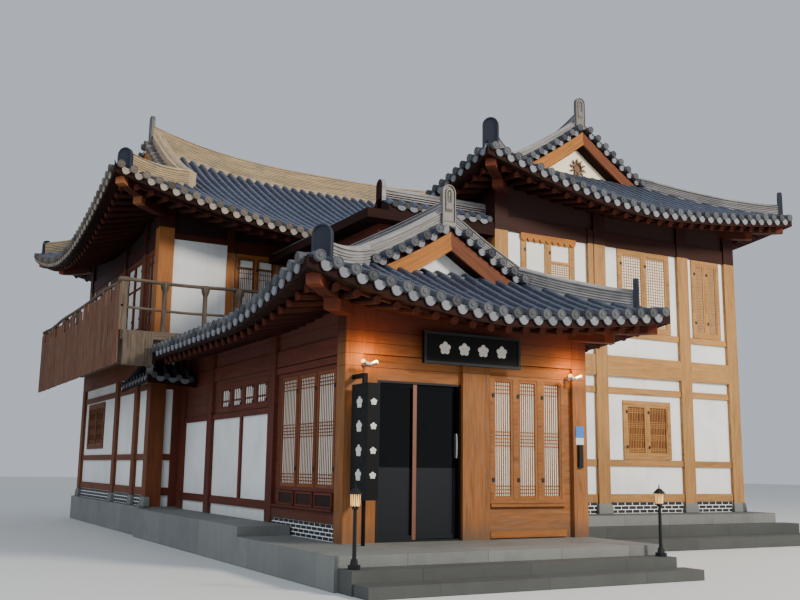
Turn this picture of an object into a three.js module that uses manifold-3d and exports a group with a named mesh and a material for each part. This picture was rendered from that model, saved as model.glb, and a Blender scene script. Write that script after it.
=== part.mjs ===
// A two-storey timber house with tiled hip-and-gable roofs and a single-storey entrance wing.
// Millimetres, +Z up. X runs to the right along the entrance front, Y runs to the back.
// Places are worked out from the entrance wing's front left corner post, and the whole house is
// then moved so that the origin is at the bottom centre of its box.
import * as THREE from "three";
import { mergeVertices } from "three/addons/utils/BufferGeometryUtils.js";
import Module from "manifold-3d";

const wasm = await Module();
wasm.setup();

// Clearance between a piece and the neighbour that it is cut by, and between a curved bed and what
// sits on it.
const SEAT = 0.3;
const BED_SEAT = 0.6;

// Levels.
const PLATFORM_TOP = 420;
const LANDING_TOP = 570;
const BASE_TOP = 600;
const FLOOR = 60;
const UPPER_FLOOR = [3810, 4050];
const DECK = [3850, 4030];
const RAIL_TOP = 5080;
const ROOF_SPACE = 8600;

// Every front is built the same way: a timber frame at its face, with the wall let in behind it.
// Depths are measured inward from the face of the posts.
const FRAME_DEPTH = [0, 180];
const RAIL_DEPTH = [30, 180];
const WALL_DEPTH = [70, 250];
const CASING_DEPTH = [40, 200];
const SHEET_DEPTH = [251, 276];
const LEAF_SET_BACK = 35;

// Faces of the fronts: the way each one looks, and where it stands along that way.
const ENTRANCE_FRONT = { looks: "-y", at: -140 };
const ENTRANCE_LEFT = { looks: "-x", at: -140 };
const MAIN_FRONT = { looks: "-y", at: 3000 };
const MAIN_LEFT = { looks: "-x", at: 4600 };
const WING_FRONT = { looks: "-y", at: 8000 };
const WING_LEFT = { looks: "-x", at: -800 };
const REAR = { looks: "+y", at: 15360 };
const RIGHT = { looks: "+x", at: 11300 };
const LINK_FRONT = 3360;
const LINK_LEFT = 2160;
const LINK_ROOF = [6050, 6230];

// Heights of the rails that run round the main block and the left wing.
const SILL_RAIL = [830, 990];
const MIDDLE_RAIL = [1560, 1690];
const HEAD_RAIL = [3060, 3190];
const FLOOR_BEAM = [3420, 3850];
const UPPER_SILL = [4270, 4400];
const UPPER_BEAM = [6200, 6500];

// Doorway, sliding leaf and windows.
const DOOR = { along: [420, 1840], height: [PLATFORM_TOP, 2720] };
const DOOR_RIM = 32;
const SILL_TRACK = 26;
const LEAF = { along: [1040, 1802], gap: 6, thick: 40 };
const FRONT_WINDOW = { along: [2360, 3790], height: [950, 2910] };
const UPPER_WINDOW = [4410, 6190];

// Roofs. half is the half width from ridge line to eave, ends are the distances from the middle of
// the ridge line to each end eave, and gable and verge are measured in from the end eave.
const ENTRANCE_ROOF = {
  along: "y",
  centre: [1930, 3300],
  half: 3150,
  ends: [4500, 3000],
  eave: 3640,
  ridge: 5260,
  belly: 0.22,
  ridgeLift: 60,
  gable: 1800,
  verge: 1600,
  hips: [true, false],
  lift: { ll: 520, lr: 300, hl: 0, hr: 0 },
  reach: 3300,
  stack: { width: 260, height: 400, tablet: 290, tall: 330, setBack: 360 },
};
const MAIN_ROOF = {
  along: "y",
  centre: [7950, 7400],
  half: 4180,
  ends: [5400, 3900],
  eave: 6780,
  ridge: 8900,
  belly: 0.25,
  ridgeLift: 420,
  gable: 2500,
  verge: 2300,
  hips: [true, false],
  lift: { ll: 700, lr: 400, hl: 0, hr: 0 },
  reach: 4300,
  stack: { width: 280, height: 380, tablet: 310, tall: 430, setBack: 160 },
};
const BACK_ROOF = {
  along: "x",
  centre: [5170, 11670],
  half: 5070,
  ends: [7300, 7300],
  eave: 6500,
  ridge: 9020,
  belly: 0.25,
  ridgeLift: 620,
  gable: 2050,
  verge: 1850,
  hips: [true, true],
  lift: { ll: 900, lr: 900, hl: 900, hr: 900 },
  reach: 4700,
  stack: { width: 300, height: 500, tablet: 320, tall: 330, setBack: 240 },
};
const EAVE_THICKNESS = 150;
const ROOF_THICKNESS = 400;
const ROOF_THICKEN_OVER = 1200;
const EAVE_CURVE = 1.6;
const GABLE = 90;

const COLOURS = {
  granite: 0xa9abaa,
  step: 0x7f8384,
  wood: 0xa5673a,
  honey: 0xc49a6c,
  redwood: 0x6b3220,
  plaster: 0xe8e8e4,
  tile: 0x3a3f4a,
  ridge: 0x9a9a96,
  weathered: 0x7d6a58,
  iron: 0x17181a,
  glass: 0x1a1d20,
  paper: 0xe9dfc8,
};

const house = new THREE.Group();

// Adds a named sub-part to the house.
function place(name, geometry, colour, roughness = 0.8, metalness = 0) {
  const flat = geometry.index ? geometry.toNonIndexed() : geometry;
  flat.deleteAttribute("uv");
  flat.computeVertexNormals();
  const mesh = new THREE.Mesh(
    flat,
    new THREE.MeshStandardMaterial({ color: COLOURS[colour], roughness, metalness }),
  );
  mesh.name = name;
  house.add(mesh);
  return flat;
}

function solidOf(geometry) {
  const bare = geometry.clone();
  bare.deleteAttribute("normal");
  bare.deleteAttribute("uv");
  const merged = mergeVertices(bare, 1e-3);
  return new wasm.Manifold(
    new wasm.Mesh({
      numProp: 3,
      vertProperties: merged.attributes.position.array,
      triVerts: new Uint32Array(merged.index.array),
    }),
  );
}

function geometryOf(solid) {
  const mesh = solid.getMesh();
  const geometry = new THREE.BufferGeometry();
  const positions = new Float32Array(mesh.numVert * 3);
  for (let i = 0; i < mesh.numVert; i++) {
    positions.set(mesh.vertProperties.subarray(i * mesh.numProp, i * mesh.numProp + 3), i * 3);
  }
  geometry.setAttribute("position", new THREE.BufferAttribute(positions, 3));
  geometry.setIndex(new THREE.BufferAttribute(mesh.triVerts, 1));
  return geometry;
}

function join(...pieces) {
  return geometryOf(pieces.flat().map(solidOf).reduce((a, b) => a.add(b)));
}

function cut(piece, ...cutters) {
  return geometryOf(cutters.flat().map(solidOf).reduce((a, b) => a.subtract(b), solidOf(piece)));
}

// A box from its limits along X, Y and Z, grown on every side when it is used as a cutter.
function block(x, y, z, grow = 0) {
  const size = [x, y, z].map(([low, high]) => high - low + 2 * grow);
  const middle = [x, y, z].map(([low, high]) => (low + high) / 2);
  return new THREE.BoxGeometry(...size).translate(...middle);
}

// A box against a face: its span along the face, its depth inward from it and its height.
function panel(face, along, depth, height, grow = 0) {
  const inward = face.looks[0] === "-" ? 1 : -1;
  const deep = depth.map((d) => face.at + inward * d).sort((a, b) => a - b);
  return face.looks[1] === "y"
    ? block(along, deep, height, grow)
    : block(deep, along, height, grow);
}

// A timber member is listed as [along, height] or [along, height, depth].
function member(face, [along, height, depth = FRAME_DEPTH], grow = 0) {
  return panel(face, along, depth, height, grow);
}

function frame(face, members, covers = []) {
  return cut(join(members.map((m) => member(face, m))), covers);
}

// The wall behind a frame: its spans joined, notched by the frame, with its windows cut through.
function wall(face, spans, members, holes = [], covers = []) {
  const slab = join(spans.map(([along, height]) => panel(face, along, WALL_DEPTH, height)));
  const notches = members.map((m) => member(face, m, SEAT));
  const through = holes.map(([along, height]) => panel(face, along, [-50, 400], height));
  return cut(slab, notches, through, covers);
}

function inset([low, high], by) {
  return [low + by, high - by];
}

// Equal leaves across a hole, inside a border and with a post between each two.
function leavesOf([along, height], count, border, post) {
  const [low, high] = inset(along, border);
  const width = (high - low - (count - 1) * post) / count;
  return Array.from({ length: count }, (_, i) => {
    const start = low + i * (width + post);
    return [[start, start + width], inset(height, border)];
  });
}

// A window that closes its hole: a casing with its leaves set back from the face.
function casing(face, hole, leaves, depth = CASING_DEPTH) {
  const [along, height] = hole;
  const body = panel(face, inset(along, SEAT), depth, inset(height, SEAT));
  const pockets = leaves.map(([a, h]) => panel(face, a, [depth[0] - 20, depth[0] + LEAF_SET_BACK], h));
  return cut(body, pockets);
}

// The windows of one storey, joined by the glazing sheet that stands behind the wall.
function windowRow(face, holes, count) {
  const depth = [CASING_DEPTH[0], SHEET_DEPTH[1]];
  const casings = holes.map((hole) => casing(face, hole, leavesOf(hole, count, 90, 70), depth));
  const ends = [holes[0][0][0], holes[holes.length - 1][0][1]];
  const sheet = panel(face, inset(ends, 20), SHEET_DEPTH, inset(holes[0][1], 20));
  return join(casings, sheet);
}

// A box whose grid of vertices is moved by a function of its parameters u, v in 0..1 and
// w = 0 on the underside or 1 on the top.
function bend(columns, rows, move) {
  const box = new THREE.BoxGeometry(1, 1, 1, columns, rows, 1);
  const position = box.attributes.position;
  for (let i = 0; i < position.count; i++) {
    const u = position.getX(i) + 0.5;
    const v = position.getY(i) + 0.5;
    const w = position.getZ(i) + 0.5;
    position.setXYZ(i, ...move(u, v, w));
  }
  return box;
}

// Height of the tile bed above a point that lies d in from the eave. It falls steeply at the ridge
// and flattens towards the eave.
function rise(roof, d) {
  const q = 1 - Math.min(d, roof.half) / roof.half;
  const drop = (1 + roof.belly) * q - roof.belly * q * q;
  return roof.ridge - (roof.ridge - roof.eave) * drop;
}

// Upward sweep of the eave near its corners, and of the ridge near its ends. s is measured along
// the ridge line from its middle and t across it.
function sweep(roof, s, t, d) {
  const end = s < 0 ? "l" : "h";
  const side = t < 0 ? "l" : "r";
  const length = s < 0 ? roof.ends[0] : roof.ends[1];
  const fromCorner = Math.max(roof.half - Math.abs(t), length - Math.abs(s));
  const near = Math.max(0, 1 - fromCorner / roof.reach) ** EAVE_CURVE;
  const corner = roof.lift[end + side] * near * (1 - d / roof.half) ** 1.5;
  const crest = 1 - Math.min(1, (roof.half - d) / roof.half);
  const verge = Math.max(0, Math.abs(s) / (length - roof.verge)) ** 3;
  const hipped = s < 0 ? roof.hips[0] : roof.hips[1];
  return corner + (hipped ? roof.ridgeLift * Math.min(1, verge) * crest : 0);
}

function topOf(roof, s, t, d) {
  return rise(roof, d) + sweep(roof, s, t, d);
}

function thicknessAt(d) {
  const share = Math.min(1, d / ROOF_THICKEN_OVER);
  return EAVE_THICKNESS + (ROOF_THICKNESS - EAVE_THICKNESS) * share;
}

function planPoint(roof, s, t) {
  const [x, y] = roof.centre;
  return roof.along === "y" ? [x + t, y + s] : [x + s, y - t];
}

// What a slope holds between its two surfaces: the tile bed itself, everything from its underside
// up, or everything up to its top. A cutter reaches a little wider than the bed at the hips.
const BED = { wider: 0, levels: (top, d) => [top - thicknessAt(d), top] };
const ABOVE = { wider: 1, levels: (top, d) => [top - thicknessAt(d) - SEAT, 12000] };
const ABOVE_INTO = { wider: 1, levels: (top, d) => [top - thicknessAt(d) + 60, 12000] };
const BELOW = { wider: 1, levels: (top) => [2500, top + BED_SEAT] };

// A slope that runs from a side eave up to the ridge, from one end of the roof to the other. Its
// ends follow the hip line below the foot of the verge, and the verge above it.
function sideSlope(roof, side, span) {
  const turn = roof.along === "y" ? 1 : -1;
  return bend(14, 8, (u, v, w) => {
    const d = v * roof.half;
    const ends = roof.ends.map((length, i) =>
      roof.hips[i] ? length - Math.min(d, roof.verge) : length,
    );
    const a = side * turn > 0 ? u : 1 - u;
    const share = side > 0 ? 1 - a : a;
    const s = -ends[0] + (ends[0] + ends[1]) * share;
    const t = side * (roof.half - d);
    const edge = s + (2 * share - 1) * span.wider;
    return [...planPoint(roof, edge, t), span.levels(topOf(roof, s, t, d), d)[w]];
  });
}

// The skirt under a gable, from the end eave up to the gable wall.
function endSkirt(roof, end, span) {
  const length = end < 0 ? roof.ends[0] : roof.ends[1];
  return bend(14, 5, (u, v, w) => {
    const d = v * roof.gable;
    const t = (2 * u - 1) * (roof.half - d) * 1.004;
    const s = end * (length - d);
    const edge = t + (2 * u - 1) * span.wider;
    return [...planPoint(roof, s, edge), span.levels(topOf(roof, s, t, d), d)[w]];
  });
}

// Some of these grids come out mirrored, so a solid with negative volume is turned round.
function turned(geometry) {
  const index = geometry.index.array;
  const p = geometry.attributes.position;
  const a = new THREE.Vector3();
  const b = new THREE.Vector3();
  const c = new THREE.Vector3();
  let volume = 0;
  for (let i = 0; i < index.length; i += 3) {
    a.fromBufferAttribute(p, index[i]);
    b.fromBufferAttribute(p, index[i + 1]);
    c.fromBufferAttribute(p, index[i + 2]);
    volume += a.dot(b.cross(c));
  }
  if (volume < 0) {
    for (let i = 0; i < index.length; i += 3) {
      [index[i + 1], index[i + 2]] = [index[i + 2], index[i + 1]];
    }
  }
  return geometry;
}

function slopesOf(roof, span) {
  return [turned(sideSlope(roof, -1, span)), turned(sideSlope(roof, 1, span))];
}

function skirtsOf(roof, span) {
  return [-1, 1].filter((end, i) => roof.hips[i]).map((end) => turned(endSkirt(roof, end, span)));
}

function wholeRoof(roof, span) {
  return join(slopesOf(roof, span), skirtsOf(roof, span));
}

// A bar of square section along a path of points at its foot.
function bar(path, width, height, steps = 8) {
  return turned(
    bend(steps, 1, (u, v, w) => {
      const here = path(u);
      const ahead = path(Math.min(1, u + 0.01));
      const behind = path(Math.max(0, u - 0.01));
      const dx = ahead[0] - behind[0];
      const dy = ahead[1] - behind[1];
      const size = Math.hypot(dx, dy);
      const across = (v - 0.5) * width;
      return [here[0] - (dy / size) * across, here[1] + (dx / size) * across, here[2] + w * height];
    }),
  );
}

// A round-topped end tablet that stands across a ridge end and faces along a direction in plan.
function tablet(at, facing, width, height, thickness = 90) {
  const shape = new THREE.Shape();
  shape.moveTo(-width / 2, 0);
  shape.lineTo(width / 2, 0);
  shape.lineTo(width / 2, height - width / 2);
  shape.absarc(0, height - width / 2, width / 2, 0, Math.PI, false);
  const plate = new THREE.ExtrudeGeometry(shape, {
    depth: thickness,
    bevelEnabled: false,
    curveSegments: 8,
  });
  plate.rotateX(Math.PI / 2);
  plate.translate(0, thickness / 2, 0);
  plate.rotateZ(Math.atan2(facing[1], facing[0]) + Math.PI / 2);
  return plate.translate(...at);
}

// The ridge down one verge and the ridge down the hip below it, with the tablet at the hip's end.
function cornerRidges(roof, end, side) {
  const { width, height, tablet: plate, tall, setBack } = roof.stack;
  const i = end < 0 ? 0 : 1;
  const verge = end * (roof.ends[i] - roof.verge - 60 - width / 2);
  const down = (u) => {
    const d = roof.half - (roof.half - roof.verge) * u;
    const t = side * (roof.half - d);
    return [...planPoint(roof, verge, t), topOf(roof, verge, t, d) - 120];
  };
  const hip = (u) => {
    const d = setBack + (roof.verge + 100 - setBack) * u;
    const s = end * (roof.ends[i] - d);
    const t = side * (roof.half - d);
    return [...planPoint(roof, s, t), topOf(roof, s, t, d) - 120];
  };
  const tip = hip(0);
  const out = [tip[0] - hip(0.2)[0], tip[1] - hip(0.2)[1]];
  return [
    bar(down, width, height * 0.8 + 120),
    bar(hip, width, height * 0.7 + 120),
    tablet([tip[0], tip[1], tip[2] + 60], out, plate, height * 0.7 + tall),
  ];
}

// All ridges of a roof, cut to sit on its tile bed.
function ridgesOf(roof, cutters = []) {
  const { width, height, tablet: plate, tall } = roof.stack;
  const reach = roof.ends.map((length, i) => (roof.hips[i] ? length - roof.verge - 60 : length));
  const crest = (u) => {
    const s = -reach[0] + (reach[0] + reach[1]) * u;
    return [...planPoint(roof, s, 0), topOf(roof, s, 0, roof.half) - 120];
  };
  const pieces = [bar(crest, width, height + 120, 12)];
  [-1, 1].forEach((end, i) => {
    if (!roof.hips[i]) return;
    const foot = crest(i);
    const out = planPoint(roof, end, 0).map((c, k) => c - roof.centre[k]);
    pieces.push(tablet([foot[0], foot[1], foot[2] + 100], out, plate, height + tall));
    pieces.push(...cornerRidges(roof, end, -1), ...cornerRidges(roof, end, 1));
  });
  return cut(join(pieces), wholeRoof(roof, BELOW), cutters);
}

// The gable wall: a plate behind the upper edge of the skirt, trimmed by the two slopes above it.
function gableOf(roof, end, slopes) {
  const i = end < 0 ? 0 : 1;
  const spread = roof.half - roof.gable + 400;
  const foot = rise(roof, roof.gable) - 550;
  const triangle = new THREE.Shape();
  triangle.moveTo(-spread, foot);
  triangle.lineTo(spread, foot);
  triangle.lineTo(0, roof.ridge + roof.ridgeLift + 600);
  const plate = new THREE.ExtrudeGeometry(triangle, { depth: GABLE, bevelEnabled: false });
  plate.rotateX(Math.PI / 2).translate(0, GABLE / 2, 0);
  if (roof.along === "x") plate.rotateZ(Math.PI / 2);
  const away = end * (roof.ends[i] - roof.gable - GABLE / 2 - SEAT);
  plate.translate(...planPoint(roof, away, 0), 0);
  return cut(plate, slopes);
}

// Volumes that trim what stands under each roof. The main roof runs into the back one, so its own
// trim stops where the back roof is the higher of the two.
const entranceBed = wholeRoof(ENTRANCE_ROOF, BED);
const entranceTrim = wholeRoof(ENTRANCE_ROOF, ABOVE);
const backTrim = wholeRoof(BACK_ROOF, ABOVE);
const underBack = wholeRoof(BACK_ROOF, BELOW);
const mainTrim = cut(wholeRoof(MAIN_ROOF, ABOVE), underBack);

function makeBase() {
  place(
    "entrance_platform",
    join(
      block([-1000, 4220], [-1750, 8000], [0, PLATFORM_TOP]),
      block([-1000, -140], [1700, 8000], [PLATFORM_TOP - 100, LANDING_TOP]),
    ),
    "granite",
  );
  place(
    "entrance_steps",
    join(
      block([-950, 4130], [-2130, -1750], [0, 280]),
      block([-930, 4250], [-2520, -2130], [0, 140]),
    ),
    "step",
  );
  place(
    "main_platform",
    join(
      block([4220, 11500], [2350, 15500], [0, BASE_TOP]),
      block([-900, 4220], [8000, 15500], [0, BASE_TOP]),
    ),
    "granite",
  );
  place(
    "main_steps",
    join(
      block([4220, 11750], [1950, 2350], [0, 400]),
      block([4220, 12000], [1250, 1950], [0, 200]),
    ),
    "step",
  );
}

function makeFloors() {
  place(
    "entrance_floor",
    block([110, 3990], [250, 8000], [PLATFORM_TOP, PLATFORM_TOP + FLOOR]),
    "honey",
  );
  place(
    "main_floor",
    join(
      block([4220, 11050], [3320, 15040], [BASE_TOP, BASE_TOP + FLOOR]),
      block([-470, 4220], [8320, 15040], [BASE_TOP, BASE_TOP + FLOOR]),
    ),
    "honey",
  );
  const corners = [
    block([4500, 4920], [2900, 3320], UPPER_FLOOR, SEAT),
    block([-800, -470], [8000, 8320], UPPER_FLOOR, SEAT),
    block([-800, -480], [15040, 15360], UPPER_FLOOR, SEAT),
    block([10980, 11300], [15040, 15360], UPPER_FLOOR, SEAT),
    block([10980, 11300], [3000, 3320], UPPER_FLOOR, SEAT),
  ];
  place(
    "upper_floor",
    cut(
      join(
        block([4600, 11050], [3250, 15110], UPPER_FLOOR),
        block([2160, 4600], [3360, 15110], UPPER_FLOOR),
        block([-550, 2160], [8250, 15110], UPPER_FLOOR),
      ),
      corners,
    ),
    "honey",
  );
}

// Entrance wing.
function makeEntranceFront() {
  const members = [
    [[-140, 140], [PLATFORM_TOP, 4200], [0, 280]],
    [[1840, 2330], [PLATFORM_TOP, 3080]],
    [[3940, 4220], [PLATFORM_TOP, 4200], [0, 280]],
    [[-140, 4220], [3080, 4200], [10, 180]],
  ];
  place("entrance_front_frame", frame(ENTRANCE_FRONT, members, [entranceTrim]), "wood");
  const bay = (name, along, height, holes = []) =>
    place(name, wall(ENTRANCE_FRONT, [[along, height]], members, holes), "wood");
  bay("entrance_wall_beside_door", [140, DOOR.along[0]], [PLATFORM_TOP, 3200]);
  bay("entrance_wall_over_door", DOOR.along, [DOOR.height[1], 3200]);
  const window = [FRONT_WINDOW.along, FRONT_WINDOW.height];
  bay("entrance_window_wall", [1900, 3940], [PLATFORM_TOP, 3200], [window]);
  place("entrance_window", casing(ENTRANCE_FRONT, window, leavesOf(window, 3, 60, 95)), "wood");
}

function makeDoor() {
  const [left, right] = inset(DOOR.along, DOOR_RIM);
  const low = DOOR.height[0] + SILL_TRACK;
  const high = DOOR.height[1] - DOOR_RIM;
  const rim = panel(ENTRANCE_FRONT, inset(DOOR.along, SEAT), [60, 240], inset(DOOR.height, SEAT));
  const opening = panel(ENTRANCE_FRONT, [left, right], [0, 300], [low, high]);
  place("door_frame", cut(rim, opening), "iron", 0.4, 0.5);
  const fixed = [left + SEAT, LEAF.along[0] + 40];
  place(
    "door_fixed_pane",
    casing(ENTRANCE_FRONT, [fixed, [low, high]], [[inset(fixed, 45), [low + 60, high - 60]]], [90, 130]),
    "glass",
    0.15,
  );
  const leaf = panel(ENTRANCE_FRONT, LEAF.along, [140, 180], [low + LEAF.gap, high - LEAF.gap]);
  const pocket = (depth) =>
    panel(ENTRANCE_FRONT, inset(LEAF.along, 50), depth, [low + 70, high - 70]);
  const shoe = (x) => panel(ENTRANCE_FRONT, [x - 40, x + 40], [150, 170], [low + SEAT, low + 40]);
  const shoes = [shoe(LEAF.along[0] + 90), shoe(LEAF.along[1] - 90)];
  place("door_leaf", join(cut(leaf, pocket([130, 152]), pocket([168, 190])), shoes), "glass", 0.15);
}

const LEFT_WINDOW = [[200, 2380], [1100, 2940]];
const CLERESTORY = [[2960, 5480], [2450, 2980]];

function makeEntranceLeft() {
  const members = [
    [[2560, 2840], [PLATFORM_TOP, 4300]],
    [[5860, 6140], [PLATFORM_TOP, 4300]],
    [[7720, 8000], [PLATFORM_TOP, DECK[0]]],
    [[140, 8000], [3080, 3340], RAIL_DEPTH],
    [[140, 2560], [660, 850], [10, 180]],
    [[2840, 7720], [760, 900], RAIL_DEPTH],
    [[2840, 5860], [2340, 2440], RAIL_DEPTH],
    [[6140, 7720], [2340, 2440], RAIL_DEPTH],
    [[4200, 4300], [900, 2340], RAIL_DEPTH],
  ];
  place("entrance_left_frame", frame(ENTRANCE_LEFT, members, [entranceTrim]), "redwood");
  const spans = [[[140, 8070], [PLATFORM_TOP, DECK[0]]]];
  const holes = [LEFT_WINDOW, CLERESTORY];
  const notch = block([-100, 200], [7999, 8100], [0, BASE_TOP]);
  place(
    "entrance_left_wall",
    wall(ENTRANCE_LEFT, spans, members, holes, [entranceTrim, notch]),
    "plaster",
  );
  place(
    "entrance_left_window",
    casing(ENTRANCE_LEFT, LEFT_WINDOW, leavesOf(LEFT_WINDOW, 3, 60, 60)),
    "redwood",
  );
  place(
    "entrance_clerestory",
    casing(ENTRANCE_LEFT, CLERESTORY, leavesOf(CLERESTORY, 4, 70, 130)),
    "redwood",
  );
}

// The wall on the right runs back to the main block and turns along its front up to the corner.
function makeEntranceRight() {
  const side = block([3990, 4170], [140, 3250], [PLATFORM_TOP, 4300]);
  const back = block([4170, 4600], [3070, 3250], [BASE_TOP, UPPER_FLOOR[0]]);
  const foot = block([4170, 4220], [3070, 3250], [PLATFORM_TOP, BASE_TOP]);
  place("entrance_right_wall", cut(join(side, back, foot), entranceTrim), "plaster");
}

function makeEntranceRoof() {
  const back = block([-3000, 8000], [6300 - SEAT, 9000], [2000, 9000]);
  const link = block([LINK_LEFT - SEAT, 4700], [LINK_FRONT - SEAT, 9000], [3000, 9000]);
  const main = block([4600 - SEAT, 8000], [3000 - SEAT, 9000], [3000, 9000]);
  place("entrance_roof", cut(entranceBed, back, link, main), "tile");
  const gable = gableOf(ENTRANCE_ROOF, -1, slopesOf(ENTRANCE_ROOF, ABOVE));
  place("entrance_gable", gable, "plaster");
  place("entrance_ridges", ridgesOf(ENTRANCE_ROOF), "ridge");
  const rear = block([110, LINK_LEFT], [6190, 6300], [3600, 5600]);
  place("entrance_rear_gable", cut(rear, entranceTrim), "redwood");
}

// Main block.
function mainRails(from, to) {
  return [
    [[from, to], SILL_RAIL, RAIL_DEPTH],
    [[from, to], MIDDLE_RAIL, RAIL_DEPTH],
    [[from, to], HEAD_RAIL, RAIL_DEPTH],
    [[from, to], FLOOR_BEAM],
    [[from, to], UPPER_SILL, RAIL_DEPTH],
    [[from, to], UPPER_BEAM, RAIL_DEPTH],
  ];
}

function makeMainFront() {
  const tall = [BASE_TOP, ROOF_SPACE];
  const members = [
    [[4600, 4920], tall, [0, 320]],
    [[7130, 7440], tall],
    [[9520, 9840], tall],
    [[10980, 11300], tall, [0, 320]],
    [[6975, 7110], [UPPER_SILL[0], UPPER_BEAM[1]]],
    ...mainRails(4920, 10980),
  ];
  place("main_front_frame", frame(MAIN_FRONT, members, [mainTrim]), "wood");
  const shutters = [[7860, 9200], [1700, 2930]];
  const upper = [
    [[5270, 6640], UPPER_WINDOW],
    [[7810, 9300], UPPER_WINDOW],
    [[9980, 10840], UPPER_WINDOW],
  ];
  const spans = [[[4920, 10980], [BASE_TOP, ROOF_SPACE]]];
  const holes = [shutters, ...upper];
  place("main_front_wall", wall(MAIN_FRONT, spans, members, holes, [mainTrim]), "plaster");
  place("main_shutters", casing(MAIN_FRONT, shutters, leavesOf(shutters, 2, 90, 60)), "honey");
  place("main_upper_windows", windowRow(MAIN_FRONT, upper, 2), "wood");
}

const MAIN_LEFT_MEMBERS = [
  [[5400, 5680], [UPPER_FLOOR[1], ROOF_SPACE]],
  [[7720, 8000], [UPPER_FLOOR[1], ROOF_SPACE]],
  [[3320, 8000], UPPER_SILL, RAIL_DEPTH],
  [[3320, 8000], [5480, 5580], RAIL_DEPTH],
  [[3320, 8000], UPPER_BEAM, RAIL_DEPTH],
];

function makeMainLeft() {
  const trims = [mainTrim, backTrim];
  place("main_left_frame", frame(MAIN_LEFT, MAIN_LEFT_MEMBERS, trims), "wood");
  const spans = [[[3320, 8250], [UPPER_FLOOR[1], ROOF_SPACE]]];
  place("main_left_wall", wall(MAIN_LEFT, spans, MAIN_LEFT_MEMBERS, [], trims), "plaster");
}

function makeMainRoof() {
  const behind = block([10300, 12600], [9000, 11400], [6000, 9500]);
  const bed = cut(wholeRoof(MAIN_ROOF, BED), underBack, behind);
  place("main_roof", bed, "tile");
  const gable = gableOf(MAIN_ROOF, -1, slopesOf(MAIN_ROOF, ABOVE));
  place("main_gable", gable, "paper");
  place("main_ridges", ridgesOf(MAIN_ROOF, [underBack]), "ridge");
}

const WING_FRONT_MEMBERS = [
  [[750, 920], [3810, ROOF_SPACE]],
  [[1990, 2160], [3810, ROOF_SPACE]],
  [[-470, 2160], [DECK[0], 4200], RAIL_DEPTH],
  [[-470, 2160], UPPER_BEAM, RAIL_DEPTH],
  [[-300, -140], [BASE_TOP, 3900]],
  [[-470, -300], SILL_RAIL, RAIL_DEPTH],
  [[-470, -300], MIDDLE_RAIL, RAIL_DEPTH],
  [[-470, -300], HEAD_RAIL, RAIL_DEPTH],
];

// The link fills the corner between the main block and the left wing on the upper floor.
function makeLink() {
  const notches = [
    ...MAIN_LEFT_MEMBERS.map((m) => member(MAIN_LEFT, m, SEAT)),
    ...WING_FRONT_MEMBERS.map((m) => member(WING_FRONT, m, SEAT)),
  ];
  const [face, side] = [MAIN_LEFT.at + WALL_DEPTH[0], LINK_LEFT + 180];
  const levels = [UPPER_FLOOR[1], LINK_ROOF[0]];
  const walls = join(
    block([LINK_LEFT, face], [LINK_FRONT, LINK_FRONT + 180], levels),
    block([LINK_LEFT, side], [LINK_FRONT, 8070], levels),
  );
  place("link_walls", cut(walls, notches), "plaster");
  const slab = join(
    block([1750, face], [3330, 8000], LINK_ROOF),
    block([LINK_LEFT, face], [7900, 8070], LINK_ROOF),
    block([1750, 4590], [3000, 3400], LINK_ROOF),
    block([side, face], [8000, 8250], LINK_ROOF),
  );
  place("link_roof", cut(slab, notches), "redwood");
  const profile = new THREE.Shape();
  profile.moveTo(-380, 0);
  profile.lineTo(380, 0);
  profile.lineTo(380, 110);
  profile.lineTo(90, 280);
  profile.lineTo(90, 430);
  profile.lineTo(-90, 430);
  profile.lineTo(-90, 280);
  profile.lineTo(-380, 110);
  const coping = new THREE.ExtrudeGeometry(profile, { depth: 2400, bevelEnabled: false });
  coping.rotateX(Math.PI / 2).rotateZ(Math.PI / 2).translate(2200, 3400, 6230);
  const end = tablet([2230, 3400, 6480], [-1, 0], 240, 450);
  place("link_coping", join(coping, end), "tile");
}

// Left wing.
function makeWingFront() {
  place("wing_front_frame", frame(WING_FRONT, WING_FRONT_MEMBERS, [backTrim]), "wood");
  const spans = [
    [[-470, LINK_LEFT], [3810, ROOF_SPACE]],
    [[LINK_LEFT, LINK_LEFT + 180], [UPPER_FLOOR[1], LINK_ROOF[0]]],
    [[LINK_LEFT + 180, 4670], [LINK_ROOF[1], ROOF_SPACE]],
    [[LINK_LEFT, LINK_LEFT + 180], [LINK_ROOF[0], ROOF_SPACE]],
    [[-470, 110], [BASE_TOP, 3900]],
  ];
  const window = [[960, 1950], [4250, 6190]];
  const trims = [backTrim, mainTrim];
  place("wing_front_wall", wall(WING_FRONT, spans, WING_FRONT_MEMBERS, [window], trims), "plaster");
  place("wing_front_window", casing(WING_FRONT, window, leavesOf(window, 2, 70, 60)), "wood");
}

function makeWingLeft() {
  const tall = [BASE_TOP, ROOF_SPACE];
  const members = [
    [[8000, 8320], tall, [0, 330]],
    [[9140, 9420], tall],
    [[11060, 11340], tall],
    [[15040, 15360], tall, [0, 320]],
    ...mainRails(8320, 15040),
  ];
  place("wing_left_frame", frame(WING_LEFT, members, [backTrim]), "redwood");
  const shutters = [[12660, 14580], [1850, 3020]];
  const upper = [
    [[8400, 9060], UPPER_WINDOW],
    [[9500, 10980], UPPER_WINDOW],
    [[11420, 12900], UPPER_WINDOW],
    [[13300, 14780], UPPER_WINDOW],
  ];
  const spans = [[[8320, 15040], tall]];
  const holes = [shutters, ...upper];
  place("wing_left_wall", wall(WING_LEFT, spans, members, holes, [backTrim]), "plaster");
  place("wing_shutters", casing(WING_LEFT, shutters, leavesOf(shutters, 2, 90, 60)), "redwood");
  place("wing_upper_windows", windowRow(WING_LEFT, upper, 2), "redwood");
}

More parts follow.
